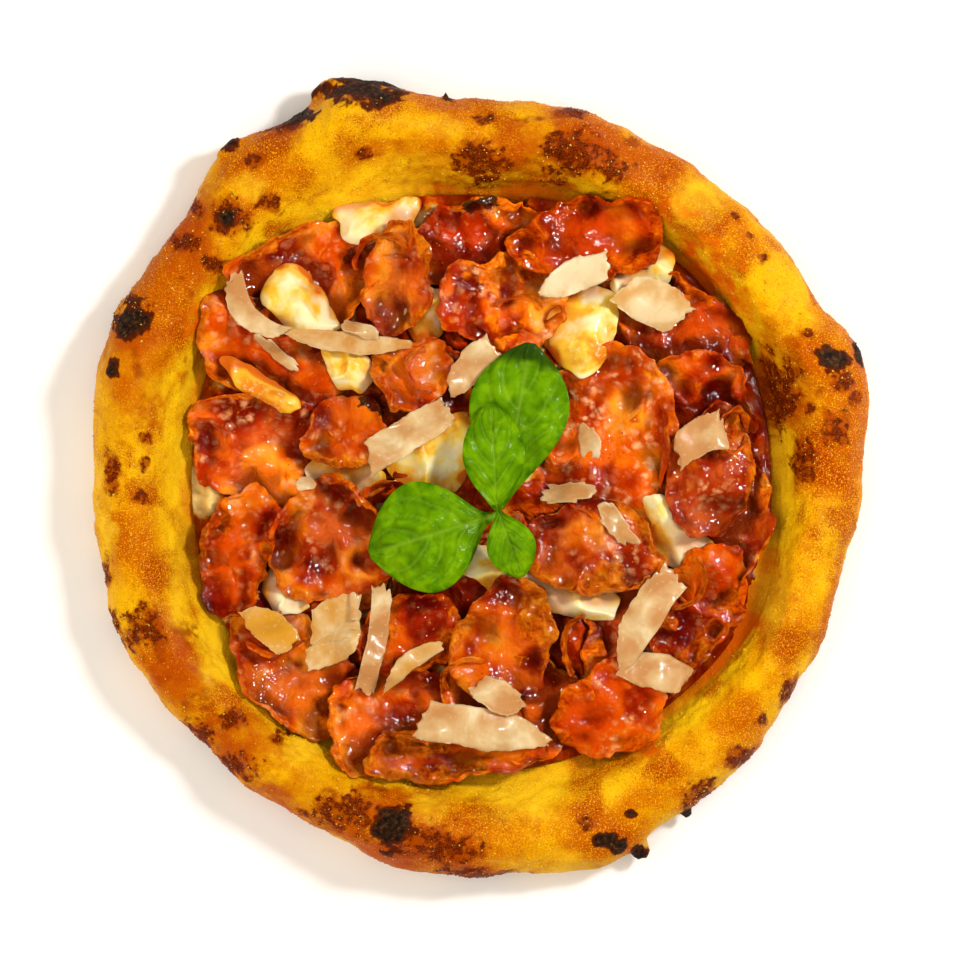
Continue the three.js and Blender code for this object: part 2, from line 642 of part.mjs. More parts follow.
// ---------------------------------------------------------------- sauce
function sauceSheet() {
  const sheet = polarSheet(sauce.rings, sauce.segments, (share, angle) => {
    const radius = (rimAt(angle / degree).inner - sauce.inset) * share;
    const x = radius * Math.cos(angle);
    const y = radius * Math.sin(angle);
    const ripple = sauce.ripple * Math.sin(x * sauce.rippleAcross) * Math.cos(y * sauce.rippleAway);
    return { x, y, z: baseThickness + restGap, thickness: sauce.thickness + ripple, lift: 0 };
  });
  sheet.flat = true;
  return sheet;
}

// ---------------------------------------------------------------- mozzarella
function mozzarellaSheet({ at, size, turn, rise, square }) {
  const sheet = polarSheet(mozzarella.rings, mozzarella.segments, (share, angle) => {
    const boxy = 1 + square * mozzarella.boxy * Math.cos(4 * angle + Math.PI);
    const lobed = 1 + mozzarella.lobed * Math.sin(3 * angle + at[0])
      + mozzarella.bitten * Math.cos(5 * angle + at[1]);
    const radius = share * boxy * lobed;
    const u = (radius * size[0] * Math.cos(angle)) / 2;
    const v = (radius * size[1] * Math.sin(angle)) / 2;
    const [x, y] = turned(u, v, turn * degree);
    const dome = Math.sqrt(Math.max(1 - share * share, 0));
    const thickness = mozzarella.rimThickness + rise * dome;
    return { x: x + at[0], y: y + at[1], z: 0, thickness };
  });
  sheet.flat = true;
  return sheet;
}

// ---------------------------------------------------------------- salami
// Bends the part of a slice beyond a line up along a round bend
function curlUp(point, curl) {
  const along = [Math.cos(curl.bearing * degree), Math.sin(curl.bearing * degree)];
  const beyond = point.x * along[0] + point.y * along[1] - curl.start;
  if (beyond <= 0) {
    return point;
  }
  const sweep = curl.sweep * degree;
  const arc = Math.min(beyond / curl.radius, sweep);
  const rest = Math.max(beyond - curl.radius * sweep, 0);
  const reach = curl.radius * Math.sin(arc) + rest * Math.cos(arc);
  const rise = curl.radius * (1 - Math.cos(arc)) + rest * Math.sin(arc);
  return {
    x: point.x + along[0] * (reach - beyond),
    y: point.y + along[1] * (reach - beyond),
    z: point.z + rise,
  };
}

function salamiSheet({ at, size, turn, frill, pleats, curls, cup }) {
  const [waves, frillHeight, frillStart] = frill;
  const [pleatCount, pleatDepth] = pleats;
  return polarSheet(salami.rings, salami.segments, (share, angle) => {
    const ragged = 1 + salami.lobed * Math.sin(3 * angle + at[1])
      + salami.torn * Math.sin(5 * angle + at[0]);
    const u = (share * ragged * size[0] * Math.cos(angle)) / 2;
    const v = (share * ragged * size[1] * Math.sin(angle)) / 2;
    const [x, y] = turned(u, v, turn * degree);
    const wave = frillHeight * share ** 3 * Math.sin(waves * angle + frillStart * degree);
    const pleat = pleatDepth * Math.cos((u / size[0]) * pleatCount * turnFull + at[0]);
    let point = { x, y, z: wave + pleat + cup * (share * share - 1) + frillHeight };
    for (const curl of curls) {
      point = curlUp(point, curl);
    }
    return { x: point.x + at[0], y: point.y + at[1], z: point.z, thickness: salami.thickness };
  });
}

// ---------------------------------------------------------------- cheese shavings
function shavingSheet({ at, length, width, turn, shares, bow, arch }) {
  const [start, middle, end] = shares;
  return gridSheet(shaving.along, shaving.across, (share, side) => {
    const bend = 1 - (2 * share - 1) ** 2;
    const profile = mix(mix(start, end, share), middle, bend);
    const chipped = 1 + shaving.chipped * Math.sin(share * 15 + at[0] + 2 * side);
    const half = (width / 2) * profile * chipped;
    const u = (share - 0.5) * length + shaving.slant * side * width;
    const [x, y] = turned(u, side * half + bow * bend, turn * degree);
    const z = arch * bend + shaving.trough * side * side;
    return { x: x + at[0], y: y + at[1], z, thickness: shaving.thickness };
  });
}

// ---------------------------------------------------------------- basil
function leafHalfWidth(share, { length, width, belly, stalk }) {
  const bare = stalk / length;
  const blade = THREE.MathUtils.clamp((share - bare) / (basil.tipShare - bare), 0, 1);
  const skew = Math.log(0.5) / Math.log(belly);
  const round = Math.sin(Math.PI * blade ** skew) ** basil.roundness;
  return mix(basil.stalkHalf, width / 2, round);
}

function basilSheet(leaf) {
  return gridSheet(basil.along, basil.across, (share, side) => {
    const half = leafHalfWidth(share, leaf);
    const swell = Math.sin(Math.PI * share);
    const ridge = Math.sin(share * basil.puckerWaves) * basil.pucker + basil.crease;
    const arch = leaf.dome * swell - basil.droop * half * side * side;
    const lift = Math.max(share - basil.tipStart, 0) * leaf.tip;
    const [x, y] = turned(share * leaf.length, side * half, leaf.bearing * degree);
    const z = arch + ridge * Math.abs(side) * swell + lift;
    return { x: x + leaf.foot[0], y: y + leaf.foot[1], z, thickness: basil.thickness };
  });
}

// ---------------------------------------------------------------- assembly
const pizza = new THREE.Group();

function addMesh(name, geometry, colour, roughness) {
  const material = new THREE.MeshStandardMaterial({ color: colour, roughness, metalness: 0 });
  const mesh = new THREE.Mesh(geometry, material);
  mesh.name = name;
  pizza.add(mesh);
  stamp(geometry);
}

const numbered = (name, index) => `${name}_${String(index + 1).padStart(2, '0')}`;

function addShaving(piece, index) {
  const sheet = shavingSheet(piece);
  settle(sheet, draping.shaving);
  let geometry = sheetSolid(sheet);
  if (piece.chip) {
    const chip = shavingSheet(piece.chip);
    settle(chip, draping.shaving);
    geometry = geometryOfManifold(manifoldOf(geometry).add(manifoldOf(sheetSolid(chip))));
  }
  addMesh(numbered('shaving', index), geometry, colours.shaving, 0.45);
}

function addLeaf(leaf, index) {
  const sheet = basilSheet(leaf);
  settleStiff(sheet);
  addMesh(`basil_leaf_${index + 1}`, sheetSolid(sheet), colours.basil, 0.4);
}

function addMozzarella(piece, index) {
  const sheet = mozzarellaSheet(piece);
  settle(sheet, draping.cheese);
  addMesh(numbered('mozzarella', index), sheetSolid(sheet), colours.mozzarella, 0.35);
}

function addSlice(piece, index) {
  const sheet = salamiSheet(piece);
  settle(sheet, draping.slice);
  addMesh(numbered('salami', index), sheetSolid(sheet), colours.salami, 0.3);
}

addMesh('crust', crustGeometry(), colours.crust, 0.55);
addMesh('sauce', sheetSolid(sauceSheet()), colours.sauce, 0.25);
salamiPieces.forEach((piece, index) => {
  if (index === slicesUnderCheese) mozzarellaPieces.forEach(addMozzarella);
  addSlice(piece, index);
});
shavingPieces.forEach(addShaving);
basilLeaves.forEach(addLeaf);

const box = new THREE.Box3().setFromObject(pizza);
const middle = box.getCenter(new THREE.Vector3());
pizza.position.set(-middle.x, -middle.y, -box.min.z);

export default pizza;
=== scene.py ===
# Salami pizza: baked rim, sauce, melted mozzarella, curled salami, cheese shavings, basil
import bpy
import bmesh
import math
import numpy as np
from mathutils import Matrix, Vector
from mathutils.bvhtree import BVHTree
from mathutils.kdtree import KDTree


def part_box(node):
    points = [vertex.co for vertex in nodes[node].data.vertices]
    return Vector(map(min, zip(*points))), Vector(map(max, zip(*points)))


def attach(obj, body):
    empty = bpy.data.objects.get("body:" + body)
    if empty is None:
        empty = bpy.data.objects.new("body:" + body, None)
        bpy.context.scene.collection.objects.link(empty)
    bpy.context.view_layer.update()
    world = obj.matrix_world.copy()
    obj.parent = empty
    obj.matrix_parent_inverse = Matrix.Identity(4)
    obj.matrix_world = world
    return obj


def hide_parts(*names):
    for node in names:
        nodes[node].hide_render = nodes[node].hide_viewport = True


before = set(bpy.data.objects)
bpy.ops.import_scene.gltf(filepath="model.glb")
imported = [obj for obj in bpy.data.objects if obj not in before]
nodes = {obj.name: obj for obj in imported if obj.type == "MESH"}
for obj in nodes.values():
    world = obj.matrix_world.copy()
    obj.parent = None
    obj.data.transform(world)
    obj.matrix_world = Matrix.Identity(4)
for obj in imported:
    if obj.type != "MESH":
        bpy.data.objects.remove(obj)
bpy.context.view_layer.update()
mm = 0.001
print("frame loaded:", len(nodes), "nodes")


# small helpers for numbers

def srgb(red, green, blue):
    # a colour as a picture shows it, 0 to 255, turned linear
    def toLinear(value):
        value /= 255
        return value / 12.92 if value <= 0.04045 else ((value + 0.055) / 1.055) ** 2.4
    return (toLinear(red), toLinear(green), toLinear(blue), 1.0)


def latticeNoise(cells, seed):
    # one steady random number from -1 to 1 for each whole cell
    cells = cells.astype(np.int64).astype(np.uint32)
    mixed = cells[..., 0] * np.uint32(374761393) + cells[..., 1] * np.uint32(668265263)
    mixed = mixed + cells[..., 2] * np.uint32(2147483647) + np.uint32(seed * 7919 + 13)
    mixed = (mixed ^ (mixed >> np.uint32(13))) * np.uint32(1274126177)
    mixed = mixed ^ (mixed >> np.uint32(16))
    return mixed.astype(np.float64) / 2147483647.5 - 1.0


def smoothNoise(points, size, seed):
    # rounded random lumps of that size, from about -1 to 1
    spot = points / size
    cell = np.floor(spot)
    part = spot - cell
    part = part * part * part * (part * (part * 6 - 15) + 10)
    total = 0
    for cornerX in (0, 1):
        shareX = part[:, 0] if cornerX else 1 - part[:, 0]
        for cornerY in (0, 1):
            shareY = part[:, 1] if cornerY else 1 - part[:, 1]
            for cornerZ in (0, 1):
                shareZ = part[:, 2] if cornerZ else 1 - part[:, 2]
                corner = cell + np.array([cornerX, cornerY, cornerZ])
                total = total + latticeNoise(corner, seed) * shareX * shareY * shareZ
    return total


def layeredNoise(points, size, seed, layers=3):
    # each layer half the size and half the weight of the one before
    total, weight, weights = 0, 1.0, 0
    for layer in range(layers):
        total = total + smoothNoise(points + layer * 0.37, size, seed + layer) * weight
        weights += weight
        weight *= 0.5
        size *= 0.5
    return total / weights * 1.6


def stepUp(low, high, value):
    # 0 under low, 1 over high, a soft ramp between
    share = np.clip((value - low) / (high - low), 0, 1)
    return share * share * (3 - 2 * share)


def squashed(points, share):
    return points * np.array([1, 1, share])


def threeNoises(points, size, seed):
    # a random push along x, y and z
    return np.stack([layeredNoise(points, size, seed + axis, 2) for axis in range(3)], axis=1)


def fromMiddle(points):
    return np.hypot(points[:, 0], points[:, 1])


def ovalShare(points, x, y, halfX, halfY):
    # 0 in the middle of an oval given in mm, 1 on its edge
    return np.hypot((points[:, 0] / mm - x) / halfX, (points[:, 1] / mm - y) / halfY)


def wayIn(centre, points, upShare):
    # directions from the points to the centre
    inward = centre - points
    inward[:, 2] *= upShare
    return inward / (np.linalg.norm(inward, axis=1)[:, None] + 1e-9)


# small helpers for meshes

weldGap = 0.002 * mm
sharpAngle = math.radians(50)           # a cut edge turns by more than this


def readPoints(mesh):
    flat = np.empty(len(mesh.vertices) * 3)
    mesh.vertices.foreach_get("co", flat)
    return flat.reshape(-1, 3)


def readNormals(mesh):
    flat = np.empty(len(mesh.vertices) * 3, dtype=np.float32)
    mesh.vertex_normals.foreach_get("vector", flat)
    return flat.reshape(-1, 3).astype(float)


def writePoints(mesh, points):
    mesh.vertices.foreach_set("co", points.ravel())
    mesh.update()


def addValues(mesh, **layers):
    # each layer is one number for the whole mesh, or one for each point
    for name, values in layers.items():
        layer = mesh.attributes.get(name) or mesh.attributes.new(name, "FLOAT", "POINT")
        spread = np.broadcast_to(np.asarray(values, dtype=np.float32), len(mesh.vertices))
        layer.data.foreach_set("value", np.ascontiguousarray(spread))


def addPatches(mesh, points, sizes):
    # slow random changes of tone, round 0.5, kept at the corners
    for number, (name, size) in enumerate(sizes.items()):
        addValues(mesh, **{name: 0.5 + 0.29 * layeredNoise(points + 0.5, size, 201 + 7 * number, 4)})


def addObject(name, data):
    thing = bpy.data.objects.new(name, data)
    bpy.context.scene.collection.objects.link(thing)
    return thing


def newPiece(name, points, faces):
    mesh = bpy.data.meshes.new(name)
    mesh.from_pydata([tuple(p) for p in points], [], faces)
    mesh.update()
    piece = addObject(name, mesh)
    mesh.shade_smooth()
    return piece


def mergedCopy(nodeName, name):
    # the solid's own mesh with its loose corners joined, as a new piece
    mesh = nodes[nodeName].data.copy()
    mesh.name = name
    mesh.materials.clear()
    work = bmesh.new()
    work.from_mesh(mesh)
    bmesh.ops.remove_doubles(work, verts=work.verts, dist=weldGap)
    bmesh.ops.join_triangles(work, faces=work.faces, angle_face_threshold=math.radians(35),
                             angle_shape_threshold=math.radians(60))
    work.to_mesh(mesh)
    work.free()
    return addObject(name, mesh)


def creaseSharp(piece, amount):
    # keeps the cut edge of a thin piece crisp while it is rounded
    work = bmesh.new()
    work.from_mesh(piece.data)
    layer = work.edges.layers.float.get("crease_edge") or work.edges.layers.float.new("crease_edge")
    for edge in work.edges:
        if len(edge.link_faces) == 2 and edge.calc_face_angle(0) > sharpAngle:
            edge[layer] = amount
    work.to_mesh(piece.data)
    work.free()


def baked(piece):
    # the piece with its modifiers made real, as a plain mesh
    bpy.context.view_layer.update()
    shaped = piece.evaluated_get(bpy.context.evaluated_depsgraph_get())
    mesh = bpy.data.meshes.new_from_object(shaped)
    mesh.name = piece.data.name
    piece.modifiers.clear()
    piece.data = mesh
    mesh.shade_smooth()
    return piece


def refined(nodeName, name, levels, crease=0.0):
    piece = mergedCopy(nodeName, name)
    if crease:
        creaseSharp(piece, crease)
    smooth = piece.modifiers.new("round", "SUBSURF")
    smooth.levels = smooth.render_levels = levels
    return baked(piece)


def rayTree(piece):
    # for finding where straight lines meet its surface
    mesh = piece.data
    return BVHTree.FromPolygons([v.co for v in mesh.vertices], [p.vertices for p in mesh.polygons])


def finerEdge(piece, away, reach):
    # splits the squares near the cut edge once more, so a frill has enough of them
    work = bmesh.new()
    work.from_mesh(piece.data)
    near = [edge for edge in work.edges if max(away[v.index] for v in edge.verts) < reach]
    bmesh.ops.subdivide_edges(work, edges=near, cuts=1, use_grid_fill=True)
    work.to_mesh(piece.data)
    work.free()
    piece.data.shade_smooth()


def foldLift(points):
    # slow folds that all the toppings share, so stacked pieces rise and sink together
    ridges = 0.5 - np.abs(layeredNoise(squashed(points, 0.12), 15 * mm, 61, 2)) * 1.4
    return ridges * stepUp(122 * mm, 104 * mm, fromMiddle(points))


markGap = 0.8 * mm                      # between marks along a cut edge


def rimDistance(nodeName, points):
    # how far each point is from the cut edge of its sheet
    work = bmesh.new()
    work.from_mesh(nodes[nodeName].data)
    bmesh.ops.remove_doubles(work, verts=work.verts, dist=weldGap)
    ring = [edge for edge in work.edges
            if len(edge.link_faces) == 2 and edge.calc_face_angle(0) > sharpAngle]
    marks = []
    for edge in ring:
        a, b = edge.verts[0].co, edge.verts[1].co
        steps = max(2, int((b - a).length / markGap))
        marks += [a.lerp(b, k / steps) for k in range(steps + 1)]
    tree = KDTree(len(marks))
    for index, mark in enumerate(marks):
        tree.insert(mark, index)
    tree.balance()
    work.free()
    return np.array([tree.find(Vector(p))[2] for p in points])


# the toppings as heights over squares of 1 mm, seen from above
gridSide = 340
mostSink = 0.8 * mm                     # how far a thing laid on top may sink or rise
mostLift = 6 * mm


def gridSpots(points):
    spots = np.clip((points[:, :2] / mm + gridSide / 2).astype(int), 0, gridSide - 1)
    return spots[:, 0], spots[:, 1]


def topGrid(pieces):
    grid = np.zeros((gridSide, gridSide))
    for piece in pieces:
        points = readPoints(piece.data)
        np.maximum.at(grid, gridSpots(points), points[:, 2])
    return grid


def widened(grid, reach):
    for axis in (0, 1):
        grid = np.max([np.roll(grid, step, axis) for step in range(-reach, reach + 1)], axis=0)
    return grid


def evened(grid, reach):
    for axis in (0, 1):
        grid = np.mean([np.roll(grid, step, axis) for step in range(-reach, reach + 1)], axis=0)
    return grid


def gridAt(grid, points):
    # the grid's value over each point, blended between squares
    spot = points[:, :2] / mm + gridSide / 2 - 0.5
    base = np.clip(np.floor(spot).astype(int), 0, gridSide - 2)
    part = np.clip(spot - base, 0, 1)
    x, y = base[:, 0], base[:, 1]
    low = grid[x, y] * (1 - part[:, 0]) + grid[x + 1, y] * part[:, 0]
    high = grid[x, y + 1] * (1 - part[:, 0]) + grid[x + 1, y + 1] * part[:, 0]
    return low * (1 - part[:, 1]) + high * part[:, 1]


def layOn(grid, points, gap, reach):
    # how far a stiff flat thing has to rise or sink to rest on the tops of what lies below
    under = np.full((gridSide, gridSide), 1.0)
    np.minimum.at(under, gridSpots(points), points[:, 2])
    need = np.where(under < 1, evened(widened(grid, 1), 1) + gap - under, -1)
    need = widened(np.clip(need, -mostSink, mostLift), reach)
    return gridAt(evened(need, reach), points)


# node helpers

def addNode(tree, kind, inputs=None, **settings):
    # an input may be another node's output, a number, or red, green, blue as a picture shows them
    node = tree.nodes.new(kind)
    for name, value in settings.items():
        setattr(node, name, value)
    for socket, value in (inputs or {}).items():
        if isinstance(value, bpy.types.NodeSocket):
            tree.links.new(value, node.inputs[socket])
        else:
            node.inputs[socket].default_value = srgb(*value) if isinstance(value, tuple) else value
    return node


class Shading:
    # a thin wrap round a node tree, so a material reads top to bottom
    def __init__(self, name):
        self.material = bpy.data.materials.new(name)
        self.material.use_nodes = True
        self.tree = self.material.node_tree
        self.tree.nodes.clear()
        self.place = self.add("ShaderNodeTexCoord").outputs["Object"]

    def add(self, kind, inputs=None, **settings):
        return addNode(self.tree, kind, inputs, **settings)

    def noise(self, scale, detail=3.0, rough=0.55, warp=0.0):
        return self.add("ShaderNodeTexNoise", {
            "Vector": self.place, "Scale": scale, "Detail": detail, "Roughness": rough,
            "Distortion": warp}).outputs["Fac"]

    def cells(self, scale, place):
        return self.add("ShaderNodeTexVoronoi", {"Vector": place, "Scale": scale}).outputs["Distance"]

    def warped(self, scale, amount):
        # the place, pushed about by noise
        push = self.add("ShaderNodeTexNoise", {"Vector": self.place, "Scale": scale}).outputs["Color"]
        push = self.add("ShaderNodeVectorMath", {0: push, "Scale": amount}, operation="SCALE").outputs[0]
        return self.add("ShaderNodeVectorMath", {0: self.place, 1: push}).outputs[0]

    def value(self, name):
        # what addValues wrote under that name
        return self.add("ShaderNodeAttribute", attribute_name=name).outputs["Fac"]

    def ramp(self, source, *stops):
        # stops: a place from 0 to 1, then red, green and blue as a picture shows them
        node = self.add("ShaderNodeValToRGB", {"Fac": source})
        band = node.color_ramp.elements
        band[0].position, band[1].position = stops[0][0], stops[-1][0]
        for stop in stops[1:-1]:
            band.new(stop[0])
        for mark, stop in zip(band, stops):
            mark.color = srgb(*stop[1:])
        return node.outputs[0]

    def span(self, source, low, high, outLow=0.0, outHigh=1.0):
        # outLow under low, outHigh over high, a soft ramp between
        return self.add("ShaderNodeMapRange", {
            "Value": source, "From Min": low, "From Max": high, "To Min": outLow,
            "To Max": outHigh}, interpolation_type="SMOOTHSTEP").outputs[0]

    def blend(self, share, first, second, kind="MIX"):
        return self.add("ShaderNodeMix", {"Factor": share, "A": first, "B": second},
                        data_type="RGBA", blend_type=kind).outputs["Result"]

    def layers(self, colour, *layers):
        # each layer is its share, then its own colour
        for share, tint in layers:
            colour = self.blend(share, colour, tint)
        return colour

    def compute(self, kind, *terms):
        return self.add("ShaderNodeMath", dict(enumerate(terms)), operation=kind).outputs[0]

    def times(self, first, second):
        return self.compute("MULTIPLY", first, second)

    def plus(self, first, second):
        return self.compute("ADD", first, second)

    def deepened(self, colour, amount):
        # above 1 a colour turns darker and redder together, as thick meat does
        return self.add("ShaderNodeGamma", {"Color": colour, "Gamma": amount}).outputs[0]

    def bump(self, height, strength, distance, under=None):
        inputs = {"Height": height, "Strength": strength, "Distance": distance}
        if under:
            inputs["Normal"] = under
        return self.add("ShaderNodeBump", inputs).outputs[0]

    def finish(self, colour, rough, normal=None, wetNormal=None, **settings):
        inputs = {"Base Color": colour, "Roughness": rough}
        if normal:
            inputs.update({"Normal": normal, "Coat Normal": wetNormal or normal})
        shader = self.add("ShaderNodeBsdfPrincipled", inputs)
        for name, amount in settings.items():
            shader.inputs[name].default_value = amount
        self.add("ShaderNodeOutputMaterial", {"Surface": shader.outputs[0]})
        return self.material


# camera, light and floor, looking straight down as the photograph does

studio = {
    "viewCentre": (-0.0006, -0.0011),
    "fieldWidth": 0.3706,
    "cameraHeight": 1.25,
    "waistHeight": 0.014,               # the rim's widest line
    "sensorWidth": 36,
    "worldTint": (1, 0.95, 0.88, 1),
    "worldStrength": 0.36,
    "floorHalf": 4.0,
    "floorDrop": 0.2 * mm,              # just clear of the pizza's underside
    "floorTones": ((0.3, 252, 252, 252), (0.7, 254, 254, 254)),
}

# place, size, power, tint, and whether wet things mirror it: the soft lamps leave no haze on them
lamps = {
    "keyLight": ((0.6, 0.33, 0.74), 0.14, 7.2, (1, 0.98, 0.95), True),
    "fillLight": ((-0.75, -0.35, 0.8), 1.2, 8.4, (1, 0.89, 0.74), False),
    "topLight": ((0.05, 0.1, 1.3), 1.0, 2.6, (1, 0.93, 0.82), False),
}


def addLamp(name, place, size, power, tint, glints):
    data = bpy.data.lights.new(name, "AREA")
    data.shape = "SQUARE"
    data.size = size
    data.energy = power
    data.color = tint
    lamp = addObject(name, data)
    lamp.location = place
    lamp.visible_glossy = glints
    lamp.rotation_euler = (-lamp.location).to_track_quat("-Z", "Y").to_euler()   # at the middle


def addStudio():
    scene = bpy.context.scene
    lens = bpy.data.cameras.new("camera")
    lens.sensor_width = studio["sensorWidth"]
    distance = studio["cameraHeight"] - studio["waistHeight"]
    lens.lens = studio["sensorWidth"] * distance / studio["fieldWidth"]
    scene.camera = addObject("camera", lens)
    scene.camera.location = (*studio["viewCentre"], studio["cameraHeight"])
    for name, settings in lamps.items():
        addLamp(name, *settings)

    world = bpy.data.worlds.new("softRoom")
    scene.world = world
    world.use_nodes = True
    background = world.node_tree.nodes["Background"]
    background.inputs[0].default_value = studio["worldTint"]
    background.inputs[1].default_value = studio["worldStrength"]
    world.cycles_visibility.glossy = False
    scene.view_settings.view_transform = "Standard"

    half = studio["floorHalf"]
    corners = [(-half, -half, 0), (half, -half, 0), (half, half, 0), (-half, half, 0)]
    floor = newPiece("floor", corners, [(0, 1, 2, 3)])
    paper = Shading("paleFloor")
    tone = paper.ramp(paper.noise(30, 2), *studio["floorTones"])
    floor.data.materials.append(paper.finish(tone, 0.8))
    floor.location.z = -studio["floorDrop"]


addStudio()
print("studio ready")


# the baked rim and base

crust = {
    "around": 880,              # columns round the pizza
    "up": 88,                   # rows from under the rim, over it, to the foot of its inner slope
    "raysFrom": 200 * mm,
    "widest": 157 * mm,
    "crownIn": 17 * mm,         # from the widest line in to the core of the rim
    "coreHeight": 12 * mm,
    "angles": (-90, 206.5),     # round the core, from straight down to the foot of the inner slope
    "floorHeight": 4 * mm,
    "lumps": 0.75 * mm,
    "blisters": 0.42 * mm,
    "grain": 0.13 * mm,
    "patches": {"broad": 30 * mm, "patch": 15 * mm, "leopard": 9 * mm},
    "floorShares": (0.93, 0.8, 0.6, 0.4, 0.2),
    "underShares": (0.2, 0.45, 0.7, 0.88),
    # the kind of mark, how ragged its edge is, and the seed of its noise
    "masks": {"charred": ("char", 0.42, 21), "browned": ("brown", 0.5, 33), "pale": ("pale", 0.35, 45),
              "stained": ("stain", 0.6, 57), "shadedAmber": ("shadedAmber", 0.45, 63)},
}

# what the oven left on the rim, in mm: middle x and y, half sizes; the amber patches, on the slopes turned
# away from the light, are toasting and painted shade
ovenMarks = {
    "char": [
        (-134, 61, 7.2, 9.0), (-140, 41, 3.5, 5.4), (-33, -134, 8.0, 8.0), (46, -139, 5.0, 3.4),
        (53, -142, 2.9, 2.5), (57, -129, 3.1, 2.3), (62, -146, 4.0, 3.6), (80, -130, 2.8, 2.4),
        (133, 45, 5.4, 5.0), (145, 49, 2.2, 5.8), (-49, 148, 18.0, 6.5), (-70, 139, 7.5, 4.4),
        (-98, 130, 7.2, 5.4), (-43, 152, 11.6, 3.9), (-98, 99, 3.6, 4.0), (-13, 149, 2.6, 4.4),
    ],
    "brown": [
        (-1, 121, 9.5, 7.5), (-45, 124, 3.5, 2.7), (-97, 99, 7.7, 6.9), (-80, 105, 4.2, 3.6),
        (-129, -58, 8.5, 8.5), (-95, -92, 6.2, 3.9), (-78, -100, 3.9, 3.1), (-52, -128, 13.6, 7.9),
        (-16, -141, 13.6, 7.2), (40, -132, 3.7, 2.9), (138, 36, 4.6, 3.9), (142, 30, 3.1, 3.1),
        (124, 55, 2.1, 1.7), (125, 26, 2.1, 2.5), (1, 138, 4.6, 2.7), (34, 124, 12.5, 8.5),
        (50, 118, 8.0, 6.0), (36, 140, 7.3, 2.6), (97, 100, 2.1, 2.1), (103, 92, 2.1, 1.7),
        (107, 84, 2.5, 2.1), (107, -93, 2.9, 2.9), (-145, -38, 2.1, 5.6), (-109, 103, 3.9, 3.1),
        (-78, 134, 8.5, 3.1), (-87, 122, 3.9, 3.1), (-113, 90, 5.4, 3.9), (-103, 82, 3.9, 3.1),
        (113, 32, 8.5, 14.0), (123, 7, 5.4, 6.9), (136, 18, 4.6, 8.5), (-129, 15, 2.6, 2.6),
        (-129, 5, 2.0, 2.6), (-130, -8, 2.2, 2.6), (-141, 3, 3.1, 7.7), (-141, -63, 3.1, 10.0),
        (-109, -101, 8.2, 6.6), (-97, -111, 10.0, 5.0), (84, -121, 8.5, 5.4), (100, -109, 6.2, 4.6),
        (119, -82, 4.6, 6.2), (-1, -153, 15.4, 3.4),
    ],
    # toasting and painted shade: orange-brown on slopes turned away from the light
    "shadedAmber": [
        (34, 124, 40, 14), (72, 78, 18, 14), (112, 36, 14, 26), (-10, 122, 30, 10), (-62, -126, 40, 16),
        (-36, -146, 42, 10), (-112, 88, 16, 26), (-134, 44, 14, 26), (-118, -76, 14, 20),
        (-96, -104, 22, 16),
    ],
    "pale": [
        (15, -125, 13.1, 6.9), (-20, -125, 9.3, 5.4), (61, -101, 10.0, 6.9), (-113, 3, 4.6, 19.3),
        (-116, -32, 3.9, 23.2), (-103, -67, 5.4, 15.4), (-70, -105, 11.6, 4.6), (111, -47, 7.7, 15.4),
        (-89, 111, 6.2, 4.6), (-31, 111, 11.6, 3.9), (84, 107, 11.6, 9.3), (53, -152, 9.3, 3.1),
        (123, -76, 3.1, 10.0), (-147, -20, 6, 24), (36, -150, 26, 5), (98, -118, 14, 12),
    ],
    "stain": [
        (87, 77, 10, 9.5), (99, 65, 6, 9.5), (104, -56, 4.2, 3.9), (78, 87, 6, 4), (94, 72, 6, 6.5),
        (61, -103, 8.5, 4.6), (102, 30, 3.9, 9.3), (-107, 57, 5.4, 10.0), (69, 101, 9.3, 3.9),
    ],
}


def ovenMask(points, kind, ragged, seed):
    # 1 inside the marks of that kind, fading over a torn edge
    total = np.zeros(len(points))
    tear = layeredNoise(points, 5 * mm, seed, 3)
    fine = layeredNoise(points, 1.6 * mm, seed + 9, 2)
    for mark in ovenMarks[kind]:
        near = stepUp(1.5, 0.25, ovalShare(points, *mark) + ragged * tear + ragged * 0.5 * fine)
        total = np.maximum(total, near)
    return total


